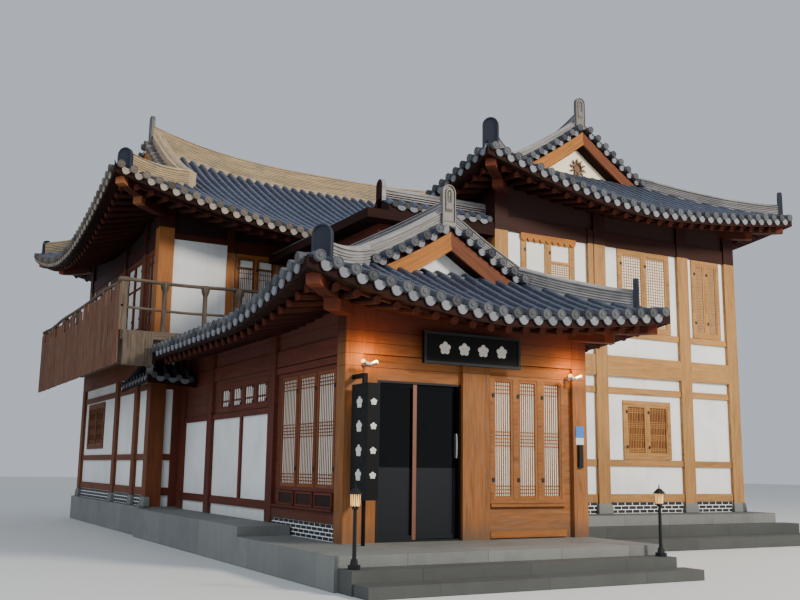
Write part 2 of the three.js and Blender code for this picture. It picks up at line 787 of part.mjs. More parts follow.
// The two sides that the front views don't show repeat the same frame, panels and windows.
function makeRear() {
  const members = [
    [[2440, 2760], [BASE_TOP, ROOF_SPACE]],
    [[5240, 5560], [BASE_TOP, ROOF_SPACE]],
    [[8040, 8360], [BASE_TOP, ROOF_SPACE]],
    ...mainRails(-480, 10980),
  ];
  place("rear_frame", frame(REAR, members, [backTrim]), "redwood");
  const upper = [
    [[240, 1730], UPPER_WINDOW],
    [[3260, 4740], UPPER_WINDOW],
    [[6060, 7540], UPPER_WINDOW],
    [[8930, 10410], UPPER_WINDOW],
  ];
  const spans = [[[-480, 10980], [BASE_TOP, ROOF_SPACE]]];
  place("rear_wall", wall(REAR, spans, members, upper, [backTrim]), "plaster");
  place("rear_upper_windows", windowRow(REAR, upper, 2), "redwood");
}

function makeRight() {
  const members = [
    [[6900, 7220], [BASE_TOP, ROOF_SPACE]],
    [[10900, 11220], [BASE_TOP, ROOF_SPACE]],
    [[15040, 15360], [BASE_TOP, ROOF_SPACE], [0, 320]],
    ...mainRails(3320, 15040),
  ];
  place("right_frame", frame(RIGHT, members, [mainTrim, backTrim]), "wood");
  const upper = [
    [[4370, 5850], UPPER_WINDOW],
    [[8320, 9800], UPPER_WINDOW],
    [[12390, 13870], UPPER_WINDOW],
  ];
  const spans = [[[3320, 15040], [BASE_TOP, ROOF_SPACE]]];
  place("right_wall", wall(RIGHT, spans, members, upper, [mainTrim, backTrim]), "plaster");
  place("right_upper_windows", windowRow(RIGHT, upper, 2), "wood");
}

function makeBackRoof() {
  const slopes = slopesOf(BACK_ROOF, ABOVE_INTO);
  const gables = [-1, 1].map((end) => gableOf(BACK_ROOF, end, slopes));
  place("back_roof", join(wholeRoof(BACK_ROOF, BED), gables), "tile");
  place("back_ridges", ridgesOf(BACK_ROOF), "ridge");
}

// Balcony round the front corner of the left wing, and the small roof over the way in below it.
function makeBalcony() {
  place(
    "balcony_deck",
    join(
      block([-1900, -800], [6300, 15600], DECK),
      block([-1000, 2160], [6300, 8000], DECK),
      block([-1840, -1260], [6240, 6300], [3350, DECK[1]]),
    ),
    "weathered",
  );
  const posts = [-1790, -1090, -260, 470, 1300, 2080].map((x) =>
    block([x, x + 70], [6310, 6380], [DECK[1], 5130]),
  );
  const rails = [
    block([-1790, 2150], [6320, 6370], [5000, RAIL_TOP]),
    block([-1790, 2150], [6325, 6365], [4450, 4510]),
  ];
  place("balcony_front_rail", join(posts, rails), "weathered");
  place("balcony_side_boards", block([-1950, -1900], [6240, 15650], [3350, RAIL_TOP]), "weathered");
}

function quadSlope(points, thickness) {
  const [a, b, c, d] = points;
  return turned(
    bend(1, 1, (u, v, w) =>
      [0, 1, 2].map((k) => {
        const low = a[k] + (b[k] - a[k]) * u;
        const high = c[k] + (d[k] - c[k]) * u;
        return low + (high - low) * v - (k === 2 ? (1 - w) * thickness : 0);
      }),
    ),
  );
}

function makeCanopy() {
  const front = quadSlope(
    [[-1150, 6900, 3230], [-145, 6900, 3160], [-850, 8000, 3560], [-145, 8000, 3560]],
    130,
  );
  const side = quadSlope(
    [[-1150, 6900, 3230], [-1150, 9100, 3150], [-800, 7900, 3560], [-800, 9100, 3560]],
    130,
  );
  place("side_canopy", join(front, side), "tile");
}

// Signs and lamps.
function post(x, y, radius, low, high, sides = 10) {
  return new THREE.CylinderGeometry(radius, radius, high - low, sides)
    .rotateX(Math.PI / 2)
    .translate(x, y, (low + high) / 2);
}

function makeSigns() {
  const board = block([1060, 2790], [-300, -240], [2990, 3470]);
  const hooks = [1300, 2450].map((x) => block([x, x + 90], [-250, -130], [3160, 3260]));
  place("sign_board", join(board, hooks), "iron", 0.6);
  const box = block([-80, 97], [-750, -250], [1030, 2610]);
  const arm = [
    block([-30, 30], [-520, -140], [2700, 2760]),
    block([-30, 30], [-520, -460], [2600, 2760]),
  ];
  place("sign_box", join(box, arm, post(9, -500, 28, PLATFORM_TOP, 1060)), "iron", 0.6);
}

function makeLamp(name, x, y) {
  const foot = 280;
  const stages = [
    [80, 80, 0, 50],
    [55, 40, 40, 120],
    [26, 22, 100, 700],
    [36, 50, 690, 730],
    [52, 62, 720, 880],
    [95, 30, 870, 940],
    [12, 6, 930, 1000],
  ];
  const pieces = stages.map(([low, high, from, to]) =>
    new THREE.CylinderGeometry(high, low, to - from, 8)
      .rotateX(Math.PI / 2)
      .translate(x, y, foot + (from + to) / 2),
  );
  place(name, join(pieces), "iron", 0.5, 0.4);
}

makeBase();
makeFloors();
makeEntranceFront();
makeDoor();
makeEntranceLeft();
makeEntranceRight();
makeEntranceRoof();
makeMainFront();
makeMainLeft();
makeMainRoof();
makeLink();
makeWingFront();
makeWingLeft();
makeRear();
makeRight();
makeBackRoof();
makeBalcony();
makeCanopy();
makeSigns();
makeLamp("lamp_left", -830, -1940);
makeLamp("lamp_right", 4020, -1940);

// The origin goes to the bottom centre of the whole house.
house.updateMatrixWorld(true);
const limits = new THREE.Box3().setFromObject(house);
const middle = limits.getCenter(new THREE.Vector3()).round();
house.children.forEach((mesh) => mesh.geometry.translate(-middle.x, -middle.y, 0));

export default house;
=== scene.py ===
"""Looks of a two-storey timber house with tiled roofs, a balcony and a single-storey entrance wing.

Sizes are metres. Places are given from the entrance wing's front left corner post, X along the
entrance front and Y to the back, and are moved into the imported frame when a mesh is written."""

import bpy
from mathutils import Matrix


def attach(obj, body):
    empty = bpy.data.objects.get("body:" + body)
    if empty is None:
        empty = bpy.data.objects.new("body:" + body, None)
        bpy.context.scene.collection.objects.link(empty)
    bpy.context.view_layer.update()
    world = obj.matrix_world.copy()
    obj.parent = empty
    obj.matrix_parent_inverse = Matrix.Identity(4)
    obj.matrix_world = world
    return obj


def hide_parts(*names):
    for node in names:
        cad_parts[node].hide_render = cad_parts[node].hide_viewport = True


bl_info = {
    "name": "Tiled timber house",
    "version": (1, 0, 0),
    "blender": (4, 5, 0),
    "location": "3D View > Sidebar > House",
    "description": "Dresses the packed timber house with tiles, timber, lattices and plaster",
    "category": "Object",
}

import math

import bpy
import numpy as np
from mathutils import Matrix

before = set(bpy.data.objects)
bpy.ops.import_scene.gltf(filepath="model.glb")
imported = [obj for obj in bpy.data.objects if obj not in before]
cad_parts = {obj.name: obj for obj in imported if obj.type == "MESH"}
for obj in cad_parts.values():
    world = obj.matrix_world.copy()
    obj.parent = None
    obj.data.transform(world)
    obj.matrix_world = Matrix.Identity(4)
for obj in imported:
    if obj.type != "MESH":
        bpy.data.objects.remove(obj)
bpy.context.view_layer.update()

# From the entrance corner post to the frame's origin.
SHIFT = np.array([-5.17, -7.12, 0.0])

# Levels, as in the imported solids.
PLATFORM_TOP = 0.42
BASE_TOP = 0.60
UPPER_WINDOW = (4.41, 6.19)
LATTICE_DEPTH = 0.04
PAPER_DEPTH = 0.0715


# ---- colours and settings


def linear(code):
    """The linear red, green and blue of a colour written as six hexadecimal digits."""
    parts = [int(code[i : i + 2], 16) / 255 for i in (0, 2, 4)]
    return tuple(p / 12.92 if p < 0.04045 else ((p + 0.055) / 1.055) ** 2.4 for p in parts)


def colour(name, text, code):
    """A colour setting, its default written as six hexadecimal digits."""
    return bpy.props.FloatVectorProperty(
        name=name, description=text, subtype="COLOR", size=3, min=0, max=1, default=linear(code)
    )


def length(name, text, value):
    """A length setting in metres."""
    return bpy.props.FloatProperty(
        name=name, description=text, unit="LENGTH", default=value, min=0.001, max=10
    )


class HouseTiling(bpy.types.PropertyGroup):
    """Sizes and colours of the roof tiles, ridges and rafters."""

    pitch: length("Row pitch", "Distance between two rows of cover tiles", 0.262)
    course: length("Course", "Length of a tile that the next one leaves bare", 0.27)
    cover: length("Cover radius", "Radius of a cover tile", 0.076)
    step: length("Step", "How far a tile's lower edge stands over the next tile", 0.009)
    rafter: length("Rafter radius", "Radius of the round rafters", 0.062)
    spacing: length("Rafter spacing", "Distance between two rafters", 0.31)
    tile: colour("Tile", "Clay of the roof tiles", "4d5569")
    end: colour("Tile end", "Mortared discs and crescents along the eaves", "6c6e74")
    ridge: colour("Ridge", "Ridge stacks of the entrance wing and the main block", "8d8a88")
    tan: colour("Back ridge", "Ridge stacks of the back roof", "b39d7c")


class HouseTimber(bpy.types.PropertyGroup):
    """Colours of the timber."""

    orange: colour("Entrance timber", "Oiled timber of the entrance front", "8f5a2e")
    red: colour("Red timber", "Stained timber of the left side and the eaves", "602e20")
    honey: colour("Pale timber", "Timber of the main block", "a87a45")
    grey: colour("Weathered timber", "Bare boards of the balcony", "7a6856")


class HouseMasonry(bpy.types.PropertyGroup):
    """Colours of plaster, paper, brick and stone."""

    plaster: colour("Plaster", "White plaster of the panels", "eff0ee")
    paper: colour("Paper", "Paper behind the lattices", "efe9da")
    stone: colour("Granite", "Granite of the platforms", "70726f")
    step: colour("Step stone", "Darker granite of the steps", "434543")
    brick: colour("Brick", "Black plinth bricks", "1b1e22")
    mortar: colour("Mortar", "White mortar between the bricks", "f2f3f2")


class HouseStage(bpy.types.PropertyGroup):
    """Floor, light and camera."""

    floor: colour("Floor", "Plain pale floor", "d7d7d4")
    sky: bpy.props.FloatProperty(
        name="Sky", description="Strength of the even light all round", default=0.64, min=0
    )
    key: bpy.props.FloatProperty(
        name="Key light", description="Strength of the large soft lamp", default=5.0, min=0
    )
    lens: bpy.props.FloatProperty(
        name="Lens", description="Focal length in millimetres", default=43.2, min=1
    )


# ---- shader writing

# Sockets of a Mix node that mixes colours.
MIX_SHARE, MIX_LOW, MIX_HIGH, MIX_RESULT = 0, 6, 7, 2


class Wire:
    """A value that runs between shader nodes. An expression on wires adds its Math nodes."""

    def __init__(self, finish, socket):
        self.finish = finish
        self.socket = socket

    def math(self, operation, *others):
        values = {i: v for i, v in enumerate((self, *others))}
        return self.finish.node("ShaderNodeMath", {"operation": operation}, values)

    def __add__(self, other):
        return self.math("ADD", other)

    def __sub__(self, other):
        return self.math("SUBTRACT", other)

    def __rsub__(self, other):
        return (self * -1.0).math("ADD", other)

    def __mul__(self, other):
        return self.math("MULTIPLY", other)

    def __truediv__(self, other):
        return self.math("DIVIDE", other)

    def __gt__(self, other):
        return self.math("GREATER_THAN", other)

    def __lt__(self, other):
        return self.math("LESS_THAN", other)

    def __mod__(self, other):
        return self.math("FLOORED_MODULO", other)

    __radd__ = __add__
    __rmul__ = __mul__

    def floor(self):
        return self.math("FLOOR")

    def abs(self):
        return self.math("ABSOLUTE")

    def clamp(self):
        return self.finish.node("ShaderNodeClamp", {}, {0: self})

    def between(self, low, high):
        return (self > low) * (self < high)

    def spread(self, low, high):
        """0 below low, 1 above high and a smooth climb between them."""
        settings = {"interpolation_type": "SMOOTHSTEP"}
        values = {"Value": self, "From Min": low, "From Max": high}
        return self.finish.node("ShaderNodeMapRange", settings, values)


class Finish:
    """One procedural material, with the Principled shader's constants set on its own sockets."""

    def __init__(self, name, **constants):
        self.material = bpy.data.materials.new(name)
        self.material.use_nodes = True
        self.tree = self.material.node_tree
        self.tree.nodes.clear()
        self.shader = self.tree.nodes.new("ShaderNodeBsdfPrincipled")
        output = self.tree.nodes.new("ShaderNodeOutputMaterial")
        self.tree.links.new(self.shader.outputs[0], output.inputs[0])
        for key, value in constants.items():
            self.shader.inputs[key.replace("_", " ")].default_value = value

    def node(self, kind, settings, values, output=0):
        """Adds a node from its type, its settings and the values or wires of its sockets."""
        node = self.tree.nodes.new(kind)
        for key, value in settings.items():
            setattr(node, key, value)
        for key, value in values.items():
            if isinstance(value, Wire):
                self.tree.links.new(value.socket, node.inputs[key])
            else:
                node.inputs[key].default_value = value
        return Wire(self, node.outputs[output])

    def place(self):
        """Object coordinates as three wires, measured from the entrance corner post."""
        at = self.node("ShaderNodeTexCoord", {}, {}, "Object")
        return [self.part(at, axis) - float(SHIFT[i]) for i, axis in enumerate("XYZ")]

    def part(self, vector, axis):
        return self.node("ShaderNodeSeparateXYZ", {}, {0: vector}, axis)

    def along(self):
        """The piece's own coordinates: metres along it, metres across it, and its tone."""
        at = self.node("ShaderNodeUVMap", {"uv_map": "metres"}, {})
        tone = self.node("ShaderNodeAttribute", {"attribute_name": "tone"}, {}, "Fac")
        return self.part(at, "X"), self.part(at, "Y"), tone

    def vector(self, x, y, z):
        return self.node("ShaderNodeCombineXYZ", {}, {0: x, 1: y, 2: z})

    def noise(self, vector, scale=1.0, detail=3.0, rough=0.55, warp=0.0):
        values = {"Vector": vector, "Scale": scale, "Detail": detail}
        values |= {"Roughness": rough, "Distortion": warp}
        return self.node("ShaderNodeTexNoise", {}, values)

    def chance(self, vector):
        """An even random number for each whole cell that the vector names."""
        return self.node("ShaderNodeTexWhiteNoise", {}, {"Vector": vector}, "Value")

    def blend(self, kind, low, high, share):
        """A Mix node over two colours, each a wire or a plain value."""
        low, high = (c if isinstance(c, Wire) else (*c[:3], 1.0) for c in (low, high))
        looks = {"data_type": "RGBA", "blend_type": kind}
        values = {MIX_SHARE: share, MIX_LOW: low, MIX_HIGH: high}
        return self.node("ShaderNodeMix", looks, values, MIX_RESULT)

    def mix(self, low, high, share):
        """From the first colour to the second by a share of 0 to 1."""
        return self.blend("MIX", low, high, share)

    def shaded(self, base, amount):
        """A colour made lighter or darker by a wire round 1."""
        return self.blend("MULTIPLY", base, self.vector(amount, amount, amount), 1.0)

    def set(self, **wires):
        """Joins wires to the shader's sockets and gives back the finished material."""
        for key, wire in wires.items():
            self.tree.links.new(wire.socket, self.shader.inputs[key.replace("_", " ")])
        return self.material

    def relief(self, height, strength=0.4, distance=0.01):
        values = {"Height": height, "Strength": strength, "Distance": distance}
        return self.node("ShaderNodeBump", {}, values)


def pale(base, share):
    """A colour made lighter by four times a share, with its hue kept."""
    return tuple(min(1.0, c * (1 + 4 * share)) for c in base)


def deep(base, share):
    """A colour moved towards black by a share."""
    return tuple(c * (1 - share) for c in base)


# ---- materials

# Noise cells to a metre along the grain of timber, across it, and across a single piece.
ALONG_GRAIN = 1.3
ACROSS_GRAIN = 15.0
PIECE_GRAIN = 16.0
# Boards to a metre of boarded wall.
BOARD_COURSES = 4.5

WORN_GREY = linear("8d867d")
SPLASHED = linear("5a4a3d")
RAIN_RUNS = linear("b9b3a6")
PLASTER_FOOT = linear("a9a498")
LICHEN = linear("757c88")


def timber(
    name, base, posts=None, seams=(), foot=0.0, rough=0.62, weather=0.0, cap=None, zones=()
):
    """Sawn timber. The grain is noise drawn out along the member: upright inside the spans of the
    posts and level outside them, or with no posts along the piece's own length. seams are lines
    between boards. cap is the length and the colour of a beam's sawn end. zones are masks over
    x, y, z, each with its colour."""
    f = Finish(name, Roughness=rough, Specular_IOR_Level=0.2)
    x, y, z = f.place()
    if posts:
        axis, spans = posts
        across, other = (x, y) if axis == "x" else (y, x)
        upright = sum((across.between(*span) for span in spans[1:]), across.between(*spans[0]))
        upright = upright.clamp()
        long = across + (z - across) * upright
        wide = z + (across - z) * upright
        inward = other * ACROSS_GRAIN + upright * 7.0
        grain = f.vector(long * ALONG_GRAIN, wide * ACROSS_GRAIN, inward)
        column = (across * 1.7 + 0.2).floor() * upright
        course = (z * 1.6).floor() * (1.0 - upright)
        level = f.chance(f.vector(column, course, 0.0))
    else:
        u, v, level = f.along()
        grain = f.vector(u * ALONG_GRAIN, v * PIECE_GRAIN, level * 41.0)
    rings = f.noise(grain, 1.0, 4.0, 0.6, 1.2)
    fibre = f.noise(grain, 7.0, 2.0, 0.5)
    patch = f.noise(f.vector(x, y, z), 0.8, 3.0)
    share = (rings * 1.3 + fibre * 0.35 + patch * 0.5 + level * 0.35 - 0.75).clamp()
    tint = f.mix(deep(base, 0.5), pale(base, 0.1), share)
    knot = f.noise(grain, 0.45, 1.0).spread(0.70, 0.76)
    tint = f.shaded(tint, 1.0 - knot * 0.35)
    if weather:
        worn = f.noise(grain, 2.2, 3.0).spread(0.42, 0.62) * weather
        tint = f.mix(tint, WORN_GREY, worn)
    if foot:
        splash = (1.0 - z.spread(PLATFORM_TOP, foot)) * patch.spread(0.25, 0.7)
        tint = f.mix(tint, SPLASHED, splash * 0.75)
    if cap:
        reach, sawn = cap
        near = 1.0 - u.spread(reach * 0.8, reach)
        tint = f.mix(tint, f.mix(deep(sawn, 0.35), sawn, share), near)
    for zone, other_base in zones:
        other_tint = f.mix(deep(other_base, 0.35), pale(other_base, 0.06), share)
        tint = f.mix(tint, other_tint, zone(x, y, z).clamp())
    height = rings * 0.5 + fibre * 0.5
    lines = {"x": x, "y": y, "z": z}
    for axis, at, half in seams:
        seam = (lines[axis] - at).abs() < half
        tint = f.shaded(tint, 1.0 - seam * 0.72)
        height = height - seam * 1.6
    return f.set(
        Base_Color=tint,
        Roughness=(rough - 0.12 + fibre * 0.3).clamp(),
        Normal=f.relief(height, 0.5, 0.006),
    )


def plaster(name, base, streaks=0.5, boards=None):
    """Lime plaster: trowel patches, fine tooth and faint grey runs under the rails. boards is a
    mask over x, y, z of what is boarded instead, and the colour of the boards."""
    f = Finish(name)
    x, y, z = f.place()
    at = f.vector(x, y, z)
    patch = f.noise(at, 1.1, 4.0)
    tooth = f.noise(at, 60.0, 2.0)
    runs = f.noise(f.vector(x * 7.0, y * 7.0, z * 0.5), 1.0, 3.0).spread(0.5, 0.75)
    tint = f.mix(deep(base, 0.12), base, patch.spread(0.3, 0.6))
    tint = f.mix(tint, RAIN_RUNS, runs * 0.35 * streaks)
    low = 1.0 - z.spread(BASE_TOP - 0.1, BASE_TOP + 0.6)
    tint = f.mix(tint, PLASTER_FOOT, low * patch * 0.5)
    height = patch * 0.6 + tooth * 0.4
    if boards:
        zone, base = boards
        mask = zone(x, y, z).clamp()
        at = f.vector(x * ALONG_GRAIN, y * ALONG_GRAIN, z * ACROSS_GRAIN)
        grain = f.noise(at, 1.0, 4.0, 0.6, 1.2)
        course = f.chance(f.vector(0.0, 0.0, (z * BOARD_COURSES).floor()))
        share = (grain + course * 0.3 - 0.15).clamp()
        wood_tint = f.mix(deep(base, 0.5), pale(base, 0.08), share)
        wood_tint = f.shaded(wood_tint, 1.0 - ((z * BOARD_COURSES) % 1.0 < 0.045) * 0.7)
        tint = f.mix(tint, wood_tint, mask)
        height = height + (grain - height) * mask
    return f.set(
        Base_Color=tint, Roughness=0.8 + tooth * 0.12, Normal=f.relief(height, 0.25, 0.004)
    )


def paper(name, base):
    """Mulberry paper: long fibres, and a little uneven in tone."""
    f = Finish(name, Roughness=0.9)
    x, y, z = f.place()
    fibre = f.noise(f.vector(x * 9.0, y * 9.0, z * 3.0), 3.0, 5.0, 0.7, 2.0)
    patch = f.noise(f.vector(x, y, z), 2.2, 2.0)
    tint = f.mix(deep(base, 0.18), base, (fibre * 0.8 + patch * 0.6 - 0.25).clamp())
    return f.set(
        Base_Color=f.shaded(tint, patch * 0.1 + 0.95), Normal=f.relief(fibre, 0.2, 0.002)
    )


def roof_tiles(name, base):
    """Clay tiles: each tile has its own tone, with lichen and rain marks across several."""
    f = Finish(name)
    u, v, _ = f.along()
    x, y, z = f.place()
    cell = f.chance(f.vector((u * 2.0 + 0.5).floor(), v.floor(), 0.0))
    patch = f.noise(f.vector(x, y, z), 0.9, 4.0)
    grit = f.noise(f.vector(x, y, z), 38.0, 3.0)
    share = (cell * 0.5 + patch * 0.7 + grit * 0.3 - 0.25).clamp()
    tint = f.mix(deep(base, 0.45), pale(base, 0.10), share)
    lip = (v % 1.0) < 0.07
    tint = f.shaded(tint, 1.0 - lip * 0.25)
    # Darker in the pans: dirt, and painted shade. Paler on the covers' tops: wear, and a painted
    # sky highlight.
    over = ((u % 1.0) - 0.5).abs()
    tint = f.shaded(tint, 1.0 - over.spread(0.18, 0.34) * 0.74)
    tint = f.mix(tint, pale(base, 0.30), (1.0 - over.spread(0.0, 0.15)) * (grit * 0.5 + 0.1))
    lichen = f.noise(f.vector(x, y, z), 5.0, 4.0).spread(0.60, 0.70)
    tint = f.mix(tint, LICHEN, lichen * 0.35)
    return f.set(
        Base_Color=tint,
        Roughness=(0.38 + grit * 0.3 + cell * 0.1).clamp(),
        Normal=f.relief(grit, 0.3, 0.004),
    )


def mortar_ends(name, base):
    """Tile ends: dark discs, which have a low tone, and pale mortared crescents with a high one."""
    f = Finish(name, Roughness=0.8)
    _, _, tone = f.along()
    x, y, z = f.place()
    grit = f.noise(f.vector(x, y, z), 30.0, 3.0)
    patch = f.noise(f.vector(x, y, z), 3.0, 3.0)
    share = (tone * 1.05 + patch * 0.35 + grit * 0.35 - 0.32).clamp()
    tint = f.mix(deep(base, 0.80), pale(base, 0.10), share)
    return f.set(Base_Color=tint, Normal=f.relief(grit, 0.4, 0.004))


def ridge_stack(name, base, streak):
    """Ridge courses of flat tiles and mortar: layered stains that follow the ridge."""
    f = Finish(name, Roughness=0.82)
    u, v, tone = f.along()
    x, y, z = f.place()
    layer = f.chance(f.vector((u * 3.2).floor(), (v * 24.0).floor(), tone))
    stain = f.noise(f.vector(u * 1.2, v * 9.0, tone), 1.0, 4.0)
    grit = f.noise(f.vector(x, y, z), 26.0, 3.0)
    share = (layer * 0.35 + stain * 0.9 + grit * 0.35 - 0.35).clamp()
    tint = f.mix(deep(base, 0.42), pale(base, 0.14), share)
    tint = f.mix(tint, streak, f.noise(f.vector(x, y, z), 2.4, 4.0).spread(0.52, 0.68) * 0.6)
    return f.set(Base_Color=tint, Normal=f.relief(grit + stain, 0.4, 0.006))


def stone(name, base, slab, rise):
    """Sawn granite slabs: speckle, a joint every slab length, and dark wet edges."""
    f = Finish(name)
    x, y, z = f.place()
    at = f.vector(x, y, z)
    speck = f.noise(at, 90.0, 2.0)
    cloud = f.noise(at, 1.4, 4.0)
    cell = f.chance(f.vector((x / slab).floor(), (y / slab).floor(), (z / rise).floor()))
    share = speck * 0.8 + cloud * 0.5 + cell * 0.3 - 0.3
    tint = f.mix(deep(base, 0.30), pale(base, 0.12), share.clamp())
    joint = 1.0
    for line, size in ((x, slab), (y, slab), (z + 0.005, rise)):
        joint = joint * ((line % size) > 0.009)
    tint = f.shaded(tint, joint * 0.5 + 0.5)
    wet = cloud.spread(0.52, 0.66)
    tint = f.shaded(tint, 1.0 - wet * 0.18)
    return f.set(
        Base_Color=tint,
        Roughness=(0.9 - cloud * 0.4).clamp(),
        Normal=f.relief(joint * 2.0 + speck, 0.35, 0.004),
    )


def plain_block(name, base, scale, rough, contrast, metal=0.0, gloss=0.5):
    """A fine-grained solid finish, mottled at one scale, with the tone of each piece."""
    f = Finish(name, Metallic=metal, Specular_IOR_Level=gloss)
    _, _, tone = f.along()
    x, y, z = f.place()
    grit = f.noise(f.vector(x, y, z), scale, 4.0)
    patch = f.noise(f.vector(x, y, z), 2.0, 3.0)
    share = (grit * 0.6 + patch * 0.5 + tone * 0.5 - 0.3).clamp()
    tint = f.mix(deep(base, contrast), pale(base, contrast * 0.25), share)
    return f.set(
        Base_Color=tint,
        Roughness=(rough - 0.15 + grit * 0.3).clamp(),
        Normal=f.relief(grit, 0.3, 0.003),
    )


def door_glass(name):
    """Dark glass, frosted below hand height, with dust near the foot."""
    f = Finish(name, Specular_IOR_Level=0.2)
    x, y, z = f.place()
    frost = 1.0 - z.spread(1.46, 1.48)
    dust = f.noise(f.vector(x, y, z), 6.0, 4.0)
    tint = f.mix(linear("040506"), linear("171b21"), frost * 0.8 + dust * 0.08)
    return f.set(Base_Color=tint, Roughness=(0.08 + frost * 0.35 + dust * 0.06).clamp())


def glowing(name, base, glow, strength):
    """Warm lamp glass, mottled by a soft cloud."""
    f = Finish(name, Roughness=0.4, Emission_Strength=strength)
    x, y, z = f.place()
    cloud = f.noise(f.vector(x, y, z), 12.0, 2.0)
    share = (cloud * 0.8 + 0.2).clamp()
    return f.set(
        Base_Color=f.mix(deep(base, 0.3), base, share),
        Emission_Color=f.mix(deep(glow, 0.4), glow, share),
    )


FINISHES = {}


def finish_of(name):
    """The material of that name, made once and then shared by every piece that takes it."""
    if name not in FINISHES:
        if name in BLOCKS:
            code, *looks = BLOCKS[name]
            FINISHES[name] = plain_block(name, linear(code), *looks)
        else:
            FINISHES[name] = MAKERS[name](name)
    return FINISHES[name]


def settings(group):
    """One of the groups of settings."""
    return getattr(bpy.context.scene, "house_" + group)


def wood(name, share=0.0):
    """A timber colour of the settings, moved towards black by a share."""
    return deep(getattr(settings("timber"), name), share)


# The posts of each wall, as the axis along it and their spans.
ENTRANCE_POSTS = ("x", [(-0.2, 0.145), (0.146, 0.42), (1.84, 2.33), (3.93, 4.3)])
LEFT_POSTS = ("y", [(-0.2, 0.14), (2.56, 2.84), (4.2, 4.3), (5.86, 6.14), (7.72, 8.0)])
MAIN_POSTS = ("x", [(4.5, 4.92), (6.975, 7.44), (9.52, 9.84), (10.98, 11.4)])
MAIN_LEFT_POSTS = ("y", [(2.9, 3.32), (5.4, 5.68), (7.72, 8.0)])
RIGHT_POSTS = ("y", [(2.9, 3.32), (6.9, 7.22), (10.9, 11.22), (15.04, 15.4)])
WING_FRONT_POSTS = ("x", [(-0.9, -0.46), (-0.30, -0.14), (0.75, 0.92), (1.99, 2.16)])
WING_LEFT_POSTS = ("y", [(7.9, 8.33), (9.14, 9.42), (11.06, 11.34), (15.03, 15.4)])
REAR_POSTS = ("x", [(2.44, 2.76), (5.24, 5.56), (8.04, 8.36)])
# A span far outside the house, where the whole grain lies level.
LEVEL_X = ("x", [(-99, -98)])
LEVEL_Y = ("y", [(-99, -98)])

# Lines between boards, as (axis, place, half width).
FRONT_SEAMS = [("z", 3.08, 0.004), ("z", 3.245, 0.004), ("z", 3.42, 0.004), ("z", 2.90, 0.004)]
DOOR_SIDE_SEAMS = [("x", 2.03, 0.012), ("x", 1.86, 0.006), *FRONT_SEAMS]
LEFT_SEAMS = [("z", 3.34, 0.004), ("z", 3.55, 0.004), ("z", 3.75, 0.004)]
FLOOR_SEAMS = [("y", 0.6 + 0.6 * i, 0.004) for i in range(24)]


def painted_eave_shade(x, y, z):
    """The top of the entrance front, darkened as painted shade of the eaves: a smooth climb with
    height.
    """
    return z.spread(3.0, 3.5)


def painted_shade_above_windows(x, y, z):
    """The beams under the eaves of the upper storey, which take a darkened red as painted shade of
    the eaves.
    """
    return z > 6.195


def painted_shade_above_panels(x, y, z):
    """Over the upper windows, where the plaster is drawn as dark boards: painted shade of the
    eaves.
    """
    return z > 6.30


def sunlit_corner_post(x, y, z):
    """The upper half of the wing's front corner post, pale orange as painted sunlight."""
    return (y < 8.325) * z.between(3.9, 6.6)


def shade_below_balcony(x, y, z):
    """The wing's front under the balcony, in the dark red of its left side: painted shade of the
    balcony.
    """
    return z < 3.9


def left_boards(x, y, z):
    """The left wall but for its white panels: the window bay, and all over the panels' rail."""
    return (y < 2.7) + (z > 2.38)


def front_timber(name, seams, weather):
    """Timber of the entrance front, darker under the eaves as painted shade."""
    zones = [(painted_eave_shade, wood("red", 0.3))]
    return timber(name, wood("orange"), ENTRANCE_POSTS, seams, 0.8, weather=weather, zones=zones)


def pale_timber(name, posts, seams=()):
    """Timber of the main block and the right side, dark over the upper windows as painted shade of
    the eaves.
    """
    zones = [(painted_shade_above_windows, wood("red", 0.75))]
    return timber(name, wood("honey"), posts, seams, weather=0.15, zones=zones)


